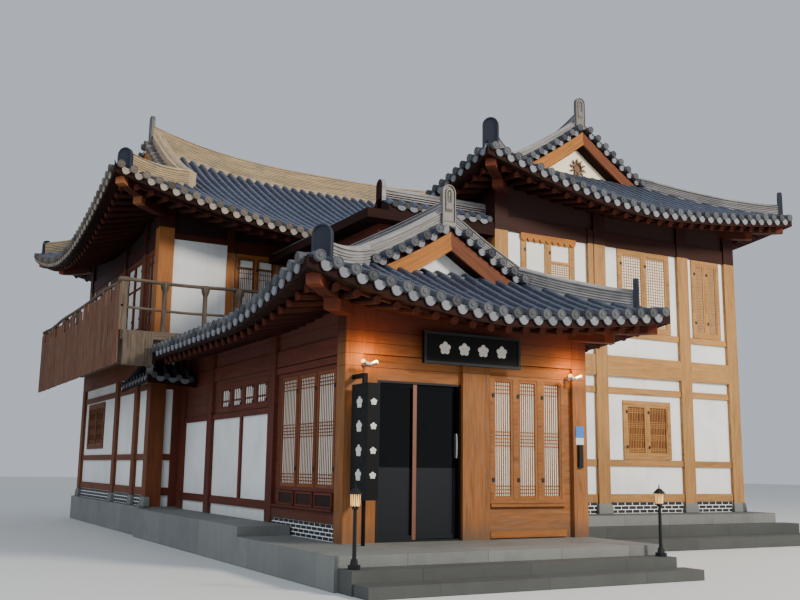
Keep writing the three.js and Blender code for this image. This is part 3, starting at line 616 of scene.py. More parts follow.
MAKERS = {
    "entrance_timber": lambda n: front_timber(n, FRONT_SEAMS, 0.12),
    "groove_timber": lambda n: front_timber(n, DOOR_SIDE_SEAMS, 0.0),
    "left_timber": lambda n: timber(n, wood("red"), LEFT_POSTS, LEFT_SEAMS, foot=0.9),
    "left_panel": lambda n: timber(n, wood("red"), LEVEL_Y, foot=1.1),
    "main_timber": lambda n: pale_timber(n, MAIN_POSTS, [("x", 7.12, 0.01)]),
    "side_timber": lambda n: pale_timber(n, MAIN_LEFT_POSTS),
    "right_timber": lambda n: pale_timber(n, RIGHT_POSTS),
    # The wing's front: dark red over its windows and under the balcony, both painted shade.
    "wing_front_timber": lambda n: timber(
        n, pale(wood("orange"), 0.06), WING_FRONT_POSTS,
        zones=[(painted_shade_above_windows, wood("red", 0.3)), (shade_below_balcony, wood("red"))],
    ),
    # The wing's left side: dark red over the windows as painted shade, and the corner post's upper
    # half pale orange as painted sunlight.
    "wing_left_timber": lambda n: timber(
        n, linear("6e3d22"), WING_LEFT_POSTS,
        zones=[(painted_shade_above_windows, wood("red", 0.6)), (sunlit_corner_post, pale(wood("orange"), 0.08))],
    ),
    "rear_timber": lambda n: timber(n, wood("red"), REAR_POSTS),
    # Red stain, darkened nearly to black: painted shade under the eaves.
    "soffit": lambda n: timber(n, wood("red", 0.84), LEVEL_X, rough=0.8),
    "floor_boards": lambda n: timber(n, wood("honey"), LEVEL_X, FLOOR_SEAMS, rough=0.5),
    "deck_boards": lambda n: timber(n, wood("grey"), LEVEL_X, weather=0.6, rough=0.85),
    "piece_timber": lambda n: timber(n, wood("orange")),
    "red_piece": lambda n: timber(n, wood("red")),
    "honey_piece": lambda n: timber(n, wood("honey")),
    # Darkened as painted shade under the eaves.
    "batten": lambda n: timber(n, linear("4a2116")),
    "board_timber": lambda n: timber(n, linear("a5682f")),
    # Also the darker barge boards on one side of each front gable: painted shade.
    "dark_board": lambda n: timber(n, linear("6b3a20")),
    "shade_timber": lambda n: timber(n, linear("2a1810")),
    "leaf_timber": lambda n: timber(n, linear("784626")),
    # Red stain, darkened as painted shade under the eaves; the sawn ends stay paler.
    "eave_timber": lambda n: timber(n, wood("red", 0.7), rough=0.75, cap=(0.03, linear("5c2a1c"))),
    "hip_timber": lambda n: timber(n, wood("red", 0.4), cap=(0.16, linear("a0623a"))),
    "shaded_hip_timber": lambda n: timber(n, wood("red", 0.5), cap=(0.16, linear("713824"))),
    "balcony_board": lambda n: timber(n, wood("grey", 0.45), weather=0.25, rough=0.85),
    "rust_board": lambda n: timber(n, linear("6b4027"), weather=0.25, rough=0.85),
    "plaster": lambda n: plaster(n, settings("masonry").plaster),
    "left_walling": lambda n: plaster(
        n, settings("masonry").plaster, boards=(left_boards, wood("red"))
    ),
    # Over the upper windows the plaster is drawn as dark red boards: painted shade of the eaves.
    "upper_walling": lambda n: plaster(
        n, settings("masonry").plaster, boards=(painted_shade_above_panels, wood("red", 0.8))
    ),
    "cream_plaster": lambda n: plaster(n, linear("fff2d2"), 0.2),
    "paper": lambda n: paper(n, settings("masonry").paper),
    "white_pane": lambda n: paper(n, linear("f4f1e8")),
    "roof_tiles": lambda n: roof_tiles(n, settings("tiling").tile),
    # A darker copy of the same clay for the entrance and main roofs: painted shade.
    "dark_roof_tiles": lambda n: roof_tiles(n, deep(settings("tiling").tile, 0.4)),
    "tile_ends": lambda n: mortar_ends(n, settings("tiling").end),
    "tan_ends": lambda n: mortar_ends(n, linear("8b8074")),
    "grey_ridge": lambda n: ridge_stack(n, settings("tiling").ridge, linear("6d7072")),
    "tan_ridge": lambda n: ridge_stack(n, settings("tiling").tan, linear("8f8877")),
    "granite": lambda n: stone(n, settings("masonry").stone, 1.2, 0.6),
    "step_stone": lambda n: stone(n, settings("masonry").step, 1.6, 0.7),
    "plinth_stone": lambda n: plain_block(n, settings("masonry").stone, 60.0, 0.85, 0.3),
    "brick": lambda n: plain_block(n, settings("masonry").brick, 45.0, 0.7, 0.5),
    "mortar": lambda n: plain_block(n, settings("masonry").mortar, 45.0, 0.9, 0.1),
    "door_glass": door_glass,
    "lamp_glass": lambda n: glowing(n, linear("ffe3a8"), linear("ffb347"), 1.6),
    "wall_glow": lambda n: glowing(n, linear("fff0cf"), linear("ffa23c"), 5.0),
}

# Fine-grained finishes: colour, scale, roughness, contrast, metal and gloss.
BLOCKS = {
    "dark_tablet": ("2a2e39", 30.0, 0.6, 0.4, 0.0, 0.2),
    "crest_plate": ("5f5a55", 30.0, 0.5, 0.4, 0.0, 0.5),
    "iron": ("1d1f22", 40.0, 0.5, 0.5, 0.4, 0.5),
    "steel": ("b9bcc0", 50.0, 0.35, 0.2, 0.9, 0.5),
    "sign_black": ("0a0a0b", 18.0, 0.5, 0.5, 0.0, 0.15),
    "sign_white": ("dcd9cf", 30.0, 0.7, 0.25, 0.0, 0.5),
    "bronze": ("6e4434", 50.0, 0.45, 0.25, 0.2, 0.5),
    "door_iron": ("101214", 60.0, 0.35, 0.4, 0.3, 0.5),
    "blue_plate": ("2f6fc0", 25.0, 0.45, 0.25, 0.0, 0.5),
    "sheet_metal": ("a4a9ad", 9.0, 0.5, 0.3, 0.3, 0.5),
    "ornament": ("6e5335", 30.0, 0.7, 0.4, 0.0, 0.5),
}


# ---- meshes


def unit(vectors):
    return vectors / np.maximum(np.linalg.norm(vectors, axis=-1, keepdims=True), 1e-9)


class Shell:
    """Collects surfaces as whole arrays and writes them as one mesh object."""

    def __init__(self):
        self.points = []
        self.tones = []
        self.faces = {}
        self.total = 0

    def add(self, points, tone):
        base = self.total
        flat = points.reshape(-1, 3)
        self.points.append(flat)
        self.tones.append(np.broadcast_to(tone, flat.shape[0]).astype(float))
        self.total += len(flat)
        return base

    def polygons(self, corners, uvs):
        """corners are vertex numbers (faces, k) and uvs their own coordinates (faces, k, 2)."""
        self.faces.setdefault(corners.shape[1], []).append((corners, uvs))

    def grid(self, points, uv=None, closed=False, tone=0.5, keep=None, facing=None):
        """Patches (b, u, v, 3) of a surface of two parameters, joined by quads. A closed
        patch has v joined up and its first and last ring of u capped, and is turned by the sign
        of its volume. An open one is turned so that it looks along facing."""
        points = np.asarray(points, float)
        if points.ndim == 3:
            points = points[None]
        b, u, v, _ = points.shape
        if np.ndim(tone) == 1:
            tone = np.repeat(np.asarray(tone, float), u * v)
        base = self.add(points, tone)
        first = base + (np.arange(b) * u * v)[:, None, None]
        i = np.arange(u - 1)[None, :, None]
        j = np.arange(v if closed else v - 1)[None, None, :]
        k = (j + 1) % v
        ring = [
            first + i * v + j,
            first + (i + 1) * v + j,
            first + (i + 1) * v + k,
            first + i * v + k,
        ]
        corners = np.stack(np.broadcast_arrays(*ring), -1)
        if uv is None:
            uv = self.measured(points, closed)
        uv = np.broadcast_to(uv, (b, u, v + closed, 2))
        spots = np.stack([uv[:, :-1, :-1], uv[:, 1:, :-1], uv[:, 1:, 1:], uv[:, :-1, 1:]], 3)
        p = points.reshape(-1, 3)[corners - base]
        normal = np.cross(p[..., 2, :] - p[..., 0, :], p[..., 3, :] - p[..., 1, :])
        if facing is None:
            middle = points.mean(axis=(1, 2))[:, None, None]
            sign = ((p.mean(axis=3) - middle) * normal).sum(axis=(1, 2, 3))
        else:
            sign = (normal * np.asarray(facing, float)).sum(axis=(1, 2, 3))
        turn = sign < 0
        corners[turn] = corners[turn][..., ::-1]
        spots = spots.copy()
        spots[turn] = spots[turn][..., ::-1, :]
        area = np.linalg.norm(normal, axis=-1) > 1e-9
        chosen = area if keep is None else area & np.broadcast_to(keep, area.shape)
        self.polygons(corners[chosen], spots[chosen])
        if closed:
            loop = np.arange(v)
            for row, back in ((0, True), (u - 1, False)):
                cap = first[:, :, 0] + row * v + loop[None]
                shape = uv[:, row, :v]
                flip = turn ^ back
                cap = np.where(flip[:, None], cap[:, ::-1], cap)
                shape = np.where(flip[:, None, None], shape[:, ::-1], shape)
                self.polygons(cap[:, ::-1], shape[:, ::-1])
        return self

    @staticmethod
    def measured(points, closed):
        """Metres along u as the first coordinate and round v as the second."""
        long = np.linalg.norm(np.diff(points, axis=1), axis=-1).mean(axis=2)
        long = np.concatenate([np.zeros((len(points), 1)), np.cumsum(long, axis=1)], axis=1)
        loop = np.concatenate([points, points[:, :, :1]], axis=2) if closed else points
        wide = np.linalg.norm(np.diff(loop, axis=2), axis=-1).mean(axis=1)
        wide = np.concatenate([np.zeros((len(points), 1)), np.cumsum(wide, axis=1)], axis=1)
        u, v = np.broadcast_arrays(long[:, :, None], wide[:, None, :])
        return np.stack([u, v], -1)

    def carry(self, profile, path, tone=0.5, upright=True):
        """A closed profile (k, 2) of across and up, carried along paths (b, n, 3), with its ends
        capped. With upright the profile stays plumb, otherwise it stands square to the path."""
        path = np.asarray(path, float)
        if path.ndim == 2:
            path = path[None]
        ahead = unit(np.gradient(path, axis=1))
        across = unit(np.cross(ahead, (0.0, 0.0, 1.0)))
        up = np.broadcast_to((0.0, 0.0, 1.0), ahead.shape) if upright else np.cross(across, ahead)
        shape = np.asarray(profile, float)
        points = (
            path[:, :, None]
            + across[:, :, None] * shape[:, :1]
            + up[:, :, None] * shape[:, 1:]
        )
        return self.grid(points, closed=True, tone=tone)

    def boxes(self, front, rows):
        """Straight bars against a front, each row its span along, its heights and its depths.
        Every bar is a four-sided profile carried along its longer side, with a tone of its own
        from the broken part of a sine."""
        rows = np.asarray(rows, float)
        a, z, d = rows[:, 0:2], rows[:, 2:4], rows[:, 4:6]
        upright = (z[:, 1] - z[:, 0]) >= (a[:, 1] - a[:, 0])
        low, high = np.where(upright[:, None], z, a).T
        across = np.where(upright[:, None], a, z)
        long = np.stack([low, high], 1)[:, :, None] + np.zeros(4)
        wide = across[:, [0, 1, 1, 0]][:, None] + np.zeros((1, 2, 1))
        depth = d[:, [0, 0, 1, 1]][:, None] + np.zeros((1, 2, 1))
        mask = upright[:, None, None]
        along = np.where(mask, wide, long)
        height = np.where(mask, long, wide)
        tone = np.abs(np.sin(np.arange(len(rows)) * 12.9898 + rows.sum(axis=1) * 78.233))
        return self.grid(front.points(along, depth, height), closed=True, tone=tone)

    def write(self, name, finish, slot, body="house", replaces=(), bevel=0.0):
        """Makes the mesh object in the frame, with its coordinates, tone, finish and body."""
        points = np.concatenate(self.points) + SHIFT
        used = np.zeros(len(points), bool)
        for groups in self.faces.values():
            for corners, _ in groups:
                used[corners.ravel()] = True
        renumber = np.cumsum(used) - 1
        mesh = bpy.data.meshes.new(name)
        mesh.vertices.add(int(used.sum()))
        mesh.vertices.foreach_set("co", points[used].ravel())
        loops, uvs, starts, total = [], [], [], 0
        for k, groups in self.faces.items():
            for corners, spots in groups:
                loops.append(renumber[corners.ravel()])
                uvs.append(spots.reshape(-1, 2))
                starts.append(total + np.arange(len(corners)) * k)
                total += corners.size
        mesh.loops.add(total)
        mesh.loops.foreach_set("vertex_index", np.concatenate(loops).astype(np.int32))
        starts = np.concatenate(starts).astype(np.int32)
        mesh.polygons.add(len(starts))
        mesh.polygons.foreach_set("loop_start", starts)
        mesh.polygons.foreach_set("use_smooth", np.zeros(len(starts), bool))
        mesh.update(calc_edges=True)
        layer = mesh.uv_layers.new(name="metres")
        layer.data.foreach_set("uv", np.concatenate(uvs).ravel().astype(np.float32))
        tone = mesh.attributes.new("tone", "FLOAT", "POINT")
        tone.data.foreach_set("value", np.concatenate(self.tones)[used].astype(np.float32))
        if mesh.validate():
            raise RuntimeError(f"{name} has faces that Blender had to repair")
        piece = bpy.data.objects.new(name, mesh)
        bpy.context.scene.collection.objects.link(piece)
        mesh.materials.append(finish_of(finish))
        if bevel:
            edge = piece.modifiers.new("edge", "BEVEL")
            edge.width, edge.segments, edge.limit_method = bevel, 1, "ANGLE"
        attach(piece, body)
        if replaces:
            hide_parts(*replaces)
        return piece


class Front:
    """A face of the house: the axis that it looks along, the sign of that way, and its place."""

    def __init__(self, axis, sign, at):
        self.axis, self.sign, self.at = axis, sign, at

    def points(self, along, depth, height):
        inward = self.at - self.sign * np.asarray(depth, float)
        along, inward, height = np.broadcast_arrays(along, inward, height)
        pair = [along, inward] if self.axis == "y" else [inward, along]
        return np.stack([*pair, height], -1)

    def out(self):
        return np.array([self.sign, 0, 0] if self.axis == "x" else [0, self.sign, 0], float)


ENTRANCE_FRONT = Front("y", -1, -0.14)
ENTRANCE_LEFT = Front("x", -1, -0.14)
MAIN_FRONT = Front("y", -1, 3.0)
WING_FRONT = Front("y", -1, 8.0)
WING_LEFT = Front("x", -1, -0.8)
REAR = Front("y", 1, 15.36)
RIGHT = Front("x", 1, 11.3)


def circle(count, radius=1.0, start=0.0):
    """Points of a circle as (count, 2)."""
    angle = start + np.arange(count) / count * 2 * math.pi
    return np.stack([np.cos(angle), np.sin(angle)], -1) * radius


def leaves_of(hole, count, border, post):
    """Equal leaves across a hole, inside a border and with a post between each two."""
    (low, high), (foot, head) = hole
    low, high = low + border, high - border
    width = (high - low - (count - 1) * post) / count
    starts = low + np.arange(count) * (width + post)
    return [((s, s + width), (foot + border, head - border)) for s in starts]


# ---- roofs


class Roof:
    """A hip-and-gable roof with the same curves as its packed bed. s runs along the ridge from
    its middle, t across it, and d in from the nearest eave."""

    def __init__(
        self, name, along, centre, half, ends, levels, ridge_lift, gable, verge, hips, corners,
        reach, stack,
    ):
        """half and ends are the half width and the runs before and behind the centre, levels the
        eave, the ridge and the belly of the slope. gable and verge are measured in from the eave,
        and corners are the lifts of its corners. stack is the ridges' width and height, the crest
        tablets' width and extra height, and the hip ridges' start and tablet height."""
        self.name, self.along, self.centre, self.half = name, along, np.array(centre), half
        self.ends, self.hips = np.array(ends), np.array(hips)
        self.eave, self.ridge, self.belly = levels
        self.ridge_lift, self.gable, self.verge = ridge_lift, gable, verge
        self.corners, self.reach = np.array(corners), reach
        self.width, self.height, self.plate, self.tall, self.set_back, self.hip_tall = stack

    def top(self, s, t, d):
        """Ridge height less a drop that is quadratic in the share of the way down, plus the sweep
        of the eave near a corner and the lift of the ridge near a gable."""
        q = 1 - np.minimum(d, self.half) / self.half
        drop = (1 + self.belly) * q - self.belly * q * q
        run = np.where(s < 0, self.ends[0], self.ends[1])
        from_corner = np.maximum(self.half - abs(t), run - abs(s))
        near = np.maximum(0, 1 - from_corner / self.reach) ** 1.6
        lift = self.corners[(s >= 0).astype(int), (t >= 0).astype(int)]
        corner = lift * near * np.maximum(0, 1 - d / self.half) ** 1.5
        crest = 1 - np.clip((self.half - d) / self.half, 0, 1)
        verge = np.minimum(1, (abs(s) / (run - self.verge)) ** 3)
        hipped = np.where(s < 0, self.hips[0], self.hips[1])
        ridge = hipped * self.ridge_lift * verge * crest
        return self.ridge - (self.ridge - self.eave) * drop + corner + ridge

    def thickness(self, d):
        """Depth of the bed: 150 mm at the eave, growing to 400 mm at 1.2 m in."""
        return 0.15 + 0.25 * np.clip(np.asarray(d) / 1.2, 0, 1)

    def point(self, s, t, d, raised=0.0):
        """The point of the roof's top at s, t, raised plumb by an amount."""
        s, t, d, raised = np.broadcast_arrays(
            *(np.asarray(value, float) for value in (s, t, d, raised))
        )
        x, y = (t, s) if self.along == "y" else (s, -t)
        z = self.top(s, t, d) + raised
        return np.stack([self.centre[0] + x, self.centre[1] + y, z], -1)

    def spot(self, part, a, d):
        """Plan place (s, t) of the point a along an eave and d in from it."""
        kind, sign = part
        if kind == "side":
            return a + 0 * d, sign * (self.half - d) + 0 * a
        return sign * (self.ends[int(sign > 0)] - d) + 0 * a, a + 0 * d

    def on(self, part, a, d):
        """The point of the roof's top a along an eave and d in from it."""
        a, d = np.broadcast_arrays(np.asarray(a, float), np.asarray(d, float))
        return self.point(*self.spot(part, a, d), d)

    def height_at(self, x, y):
        """Height of the roof's top over plan points, far below where it doesn't reach."""
        if self.along == "y":
            s, t = y - self.centre[1], x - self.centre[0]
        else:
            s, t = x - self.centre[0], self.centre[1] - y
        from_end = np.where(s < 0, self.ends[0], self.ends[1]) - abs(s)
        from_side = self.half - abs(t)
        hipped = np.where(s < 0, self.hips[0], self.hips[1])
        skirt = hipped & (from_end < from_side) & (from_end < self.verge)
        d = np.maximum(np.where(skirt, from_end, from_side), 0)
        outside = (from_end < 0) | (from_side < 0)
        return np.where(outside, -1e3, self.top(s, t, d))

    def hipped(self):
        """The ends that have hips, as their number and their sign."""
        return [(i, sign) for i, sign in enumerate((-1, 1)) if self.hips[i]]

    def parts(self):
        """The eaves, as their kind and their sign."""
        return [("side", -1), ("side", 1), *(("end", sign) for _, sign in self.hipped())]

    def windows(self, part):
        """The spans of an eave between which the tiles' run changes, each with the run."""
        if part[0] == "end":
            run = lambda a: np.minimum(self.gable, self.half - abs(a))
            return [(-self.half, self.half, run)]
        low, high = -self.ends[0], self.ends[1]
        spans = []
        if self.hips[0]:
            spans.append((low, low + self.verge, lambda a: self.ends[0] - abs(a)))
            low += self.verge
        if self.hips[1]:
            spans.append((high - self.verge, high, lambda a: self.ends[1] - abs(a)))
            high -= self.verge
        spans.append((low, high, lambda a: np.full_like(a, self.half)))
        return spans


ENTRANCE_ROOF = Roof(
    "entrance", along="y", centre=(1.93, 3.3), half=3.15, ends=(4.5, 3.0),
    levels=(3.64, 5.26, 0.22), ridge_lift=0.06, gable=1.80, verge=1.6, hips=(True, False),
    corners=((0.52, 0.30), (0, 0)), reach=3.3, stack=(0.26, 0.40, 0.29, 0.33, 0.36, 0.61),
)
MAIN_ROOF = Roof(
    "main", along="y", centre=(7.95, 7.4), half=4.18, ends=(5.4, 3.9),
    levels=(6.78, 8.9, 0.25), ridge_lift=0.42, gable=2.50, verge=2.3, hips=(True, False),
    corners=((0.70, 0.40), (0, 0)), reach=4.3, stack=(0.28, 0.38, 0.31, 0.43, 0.16, 0.70),
)
BACK_ROOF = Roof(
    "back", along="x", centre=(5.17, 11.67), half=5.07, ends=(7.3, 7.3),
    levels=(6.5, 9.02, 0.25), ridge_lift=0.62, gable=2.05, verge=1.85, hips=(True, True),
    corners=((0.9, 0.9), (0.9, 0.9)), reach=4.7, stack=(0.30, 0.50, 0.32, 0.33, 0.24, 0.53),
)
ROOFS = (ENTRANCE_ROOF, MAIN_ROOF, BACK_ROOF)


def hidden_entrance(p):
    """True where the entrance roof stops at the link's and the main block's walls."""
    x, y = p[..., 0], p[..., 1]
    return (y > 6.3) | ((x > 2.165) & (y > 3.365)) | ((x > 4.6) & (y > 3.0))


def hidden_main(p):
    """True where the main roof runs in under the back roof."""
    x, y, z = p[..., 0], p[..., 1], p[..., 2]
    under = z < BACK_ROOF.height_at(x, y) - 0.03
    return under | ((x > 10.3) & (y > 9.0) & (y < 11.4) & (z < 9.5))


def hidden_back(p):
    """True where the back roof runs in under the main roof, and inside its roof space."""
    x, y, z = p[..., 0], p[..., 1], p[..., 2]
    return z < MAIN_ROOF.height_at(x, y) - 0.25


HIDDEN = {"entrance": hidden_entrance, "main": hidden_main, "back": hidden_back}


def tile_rows(shell, roof, part, tiling):
    """The tile field of one slope. Across the rows the surface is the section of a shallow pan
    and a half-round cover. Down the slope every course stands one step over the next, so the
    rings come in pairs at each lower edge. The field is raised square to the roof's top."""
    pitch, course, radius, step = tiling.pitch, tiling.course, tiling.cover, tiling.step
    flat = pitch / 2 - radius
    x = np.array([0, flat * 0.6, flat, pitch / 2 - radius * 0.62, pitch / 2])
    h = np.array([0.002, 0.010, 0.034, 0.034 + radius * 0.80, 0.034 + radius])
    x = np.concatenate([x, pitch - x[-2:0:-1]])
    h = np.concatenate([h, h[-2:0:-1]])
    for low, high, run in roof.windows(part):
        first, last = math.floor(low / pitch - 1), math.ceil(high / pitch + 1)
        a = (np.arange(first, last)[:, None] * pitch + x[None]).ravel()
        lift = np.tile(h, last - first)
        inside = (a > low) & (a < high)
        edge = np.interp([low, high], a, lift)
        a = np.concatenate([[low], a[inside], [high]])
        lift = np.concatenate([[edge[0]], lift[inside], [edge[1]]])
        deepest = np.maximum(run(a), 0)
        count = math.ceil(deepest.max() / course)
        k = np.repeat(np.arange(count + 1), 2)[1:-1] * course
        stepped = np.tile([step, 0.0], count)
        d = np.minimum(k[:, None], deepest[None])
        aa = a[None] + 0 * d
        e = 1e-3
        du = roof.on(part, aa + e, d) - roof.on(part, aa - e, d)
        dv = roof.on(part, aa, d + e) - roof.on(part, aa, d - e)
        normal = unit(np.cross(du, dv))
        normal *= np.sign(normal[..., 2:])
        points = roof.on(part, aa, d) + normal * (lift[None] + stepped[:, None])[..., None]
        centre = (points[:-1, :-1] + points[1:, 1:]) / 2
        keep = ~HIDDEN[roof.name](centre)
        short = (d[1:] - d[:-1] < 1e-6) & (k[1:, None] > deepest[None])
        keep &= ~(short[:, :-1] & short[:, 1:])
        uv = np.stack([aa / pitch, d / course + np.where(stepped > 0, 0.02, -0.02)[:, None]], -1)
        shell.grid(points[None], uv[None], keep=keep[None], facing=(0, 0, 1))


def eave_frames(roof, part, spots):
    """Points, ways out, ways across and ways up along an eave at the given places."""
    at = roof.on(part, spots, 0.0)
    out = roof.on(part, spots, 0.0) - roof.on(part, spots, 0.01)
    out[:, 2] = 0
    out = unit(out)
    across = unit(roof.on(part, spots + 0.01, 0.0) - roof.on(part, spots - 0.01, 0.0))
    up = np.cross(out, across)
    up *= np.sign(up[:, 2:])
    return at, out, across, unit(up)


def disc_tone(chance):
    """Tones of round tile ends, which are dark clay."""
    return 0.02 + 0.30 * chance


def pan_tone(chance):
    """Tones of crescents, which are pale mortar."""
    return 0.62 + 0.38 * chance


# Section of a tile's round end, from the back to the boss: radius and way out.
DISC = [
    (0.080, -0.16), (0.080, 0.028), (0.068, 0.034), (0.062, 0.024), (0.036, 0.024), (0.026, 0.036),
]


def end_discs(shell, at, out, across, up, tones, scale=1.0, back=0.16):
    """Round tile ends: a stepped section turned about the way out, closed by a small boss."""
    turn = circle(12)
    section = np.array(DISC) * scale
    section[0, 1] = -back
    ring = across[:, None] * turn[None, :, :1] + up[:, None] * turn[None, :, 1:]
    points = (
        at[:, None, None]
        + out[:, None, None] * section[None, :, None, 1:]
        + ring[:, None] * section[None, :, None, :1]
    )
    shell.grid(points, closed=True, tone=tones)


def crescents(shell, at, out, across, up, tones, width, drop=0.085):
    """Hanging ends of the pans: a plate whose top sags and whose lower edge is a deep bow. Each
    patch is a closed four-sided section carried across the pan."""
    share = np.linspace(-1, 1, 9)
    top = 0.022 * share**2 + 0.012
    foot = -drop * (1 - abs(share) ** 2.4) - 0.008
    section = [(0.0, top), (0.024, top), (0.030, foot), (0.006, foot)]
    outward = np.stack([np.full_like(share, o) for o, _ in section], 1)
    high = np.stack([z for _, z in section], 1)
    points = (
        at[:, None, None]
        + across[:, None, None] * (share * width / 2)[None, :, None, None]
        + out[:, None, None] * outward[None, :, :, None]
        + up[:, None, None] * high[None, :, :, None]
    )
    shell.grid(points, closed=True, tone=tones)


def eave_ends(shell, roof, part, tiling):
    """Discs on the cover rows and crescents between them, where an eave is open to the air."""
    side, sign = part
    if side == "side":
        low, high = -roof.ends[0], roof.ends[1]
    else:
        low, high = -roof.half, roof.half
    pitch = tiling.pitch
    k = np.arange(math.ceil(low / pitch - 0.5), math.floor(high / pitch - 0.5) + 1)
    for kind, spots in (("disc", (k + 0.5) * pitch), ("pan", k * pitch)):
        spots = spots[(spots > low + 0.05) & (spots < high - 0.05)]
        at, out, across, up = eave_frames(roof, part, spots)
        seen = ~HIDDEN[roof.name](at + out * 0.02)
        at, out, across, up = (v[seen] for v in (at, out, across, up))
        tones = np.abs(np.sin(spots[seen] * 57.3 + sign))
        if kind == "disc":
            end_discs(shell, at + up * 0.046 + out * 0.05, out, across, up, disc_tone(tones))
        else:
            at = at + up * 0.006 + out * 0.004
            crescents(shell, at, out, across, up, pan_tone(tones), pitch - 0.06, 0.115)


def verge_ends(covers, shell, roof, tiling):
    """Short cover tiles that lie across each verge, with a disc on each and a crescent between."""
    for i, end in roof.hipped():
        edge = end * (roof.ends[i] - roof.verge)
        for side in (-1, 1):
            d = np.arange(roof.verge + 0.18, roof.half - 0.06, tiling.pitch * 0.86)
            for kind, runs in (("disc", d), ("pan", d + tiling.pitch * 0.43)):
                runs = runs[runs < roof.half - 0.05]
                t = side * (roof.half - runs)
                at = roof.point(edge, t, runs)
                out = roof.point(edge + end * 0.01, t, runs) - at
                out = unit(out * [1, 1, 0])
                across = unit(roof.point(edge, side * (roof.half - runs - 0.01), runs + 0.01) - at)
                up = np.cross(out, across)
                up = unit(up * np.sign(up[:, 2:]))
                seen = ~HIDDEN[roof.name](at + up * 0.05)
                at, out, across, up = (v[seen] for v in (at, out, across, up))
                tones = np.abs(np.sin(runs[seen] * 91.7 + side))
                if kind == "disc":
                    tip = at + up * 0.06 + out * 0.125
                    end_discs(shell, tip, out, across, up, disc_tone(tones), 0.95)
                    angle = np.linspace(0, math.pi, 7)
                    ring = np.stack([np.cos(angle), np.sin(angle)], -1) * 0.078
                    ring = np.concatenate([ring, [[-0.078, -0.05], [0.078, -0.05]]])
                    start = at + up * 0.055 - out * 0.34
                    path = np.stack([start, start + out * 0.2, start + out * 0.465], 1)
                    points = (
                        path[:, :, None]
                        + across[:, None, None] * ring[None, None, :, :1]
                        + up[:, None, None] * ring[None, None, :, 1:]
                    )
                    row = np.arange(len(at))[:, None, None] + 0.5
                    run = np.array([0.1, 0.8, 1.6])[None, :, None]
                    uv = np.stack(np.broadcast_arrays(row, run), -1)
                    covers.grid(points, uv, closed=True, tone=tones)
                else:
                    at = at + up * 0.02 + out * 0.05
                    crescents(shell, at, out, across, up, pan_tone(tones), 0.17, 0.09)


# How far below the roof's top a ridge stack starts.
RIDGE_FOOT = 0.12


def stack_profile(width, height):
    """Section of a ridge: a mortar base, courses of flat tiles that each stand out a little, and
    a half-round cover tile on top. Heights run from below the tile bed."""
    half = width / 2
    courses = max(3, int((height - 0.20) / 0.045))
    side = [(half - 0.015, 0.0), (half - 0.015, 0.19)]
    for i in range(courses):
        z = 0.20 + i * (height - 0.20 - 0.03) / courses
        side += [(half - 0.018, z), (half, z + 0.006), (half, z + 0.026), (half - 0.018, z + 0.032)]
    side += [(half - 0.012, height - 0.02), (half + 0.012, height - 0.012), (half + 0.012, height)]
    angle = np.linspace(0, math.pi, 7)
    cap = [(0.078 * math.cos(v), height + 0.072 * math.sin(v)) for v in angle]
    return np.array(side + cap + [(-x, z) for x, z in side[::-1]])


def ridge_path(roof, kind, end=0, side=0):
    """Foot of a ridge: the crest along the roof's middle, or the ridge down a verge or a hip."""
    if kind == "crest":
        reach = [run - roof.verge - 0.06 if hip else run for run, hip in zip(roof.ends, roof.hips)]
        s = np.linspace(-reach[0], reach[1], 25)
        return roof.point(s, 0.0, roof.half, -RIDGE_FOOT)
    i = int(end > 0)
    if kind == "verge":
        d = np.linspace(roof.half, roof.verge, 13)
        s = end * (roof.ends[i] - roof.verge - 0.06 - roof.width / 2)
    else:
        d = np.linspace(roof.set_back, roof.verge + 0.1, 12)
        s = end * (roof.ends[i] - d)
    return roof.point(s, side * (roof.half - d), d, -RIDGE_FOOT)


def tablet(shell, foot, facing, width, height, boss=True):
    """A round-topped end plate. Its outline is scaled towards its middle ring by ring while the
    face steps in behind a raised rim and out again over a round boss."""
    angle = np.linspace(0, math.pi, 11)
    arch = np.stack([np.cos(angle) * width / 2, np.sin(angle) * width / 2 + height - width / 2], -1)
    outline = np.concatenate([[[width / 2, 0.0]], arch, [[-width / 2, 0.0]]])
    middle = np.array([0.0, height - width * 0.55])
    rim = 0.045
    steps = [(1.0, -rim), (1.0, rim * 0.8), (0.95, rim), (0.84, rim), (0.80, rim * 0.55)]
    if boss:
        steps += [(0.55, rim * 0.5), (0.46, rim * 0.95), (0.30, rim), (0.24, rim * 0.6), (0.1, rim)]
    else:
        steps += [(0.4, rim * 0.5)]
    facing = unit(np.array([facing[0], facing[1], 0.0]))
    across = np.array([-facing[1], facing[0], 0.0])
    rings = []
    for scale, out in steps:
        flat = middle + (outline - middle) * scale
        plate = foot + across * flat[:, :1] + facing * out
        rings.append(plate + np.array([0, 0, 1.0]) * flat[:, 1:])
    shell.grid(np.stack(rings)[None], closed=True, tone=0.5)


# How far in from the eave's edge a rafter starts, and where the batten lies.
RAFTER_START = 0.20
BATTEN_IN = 0.30


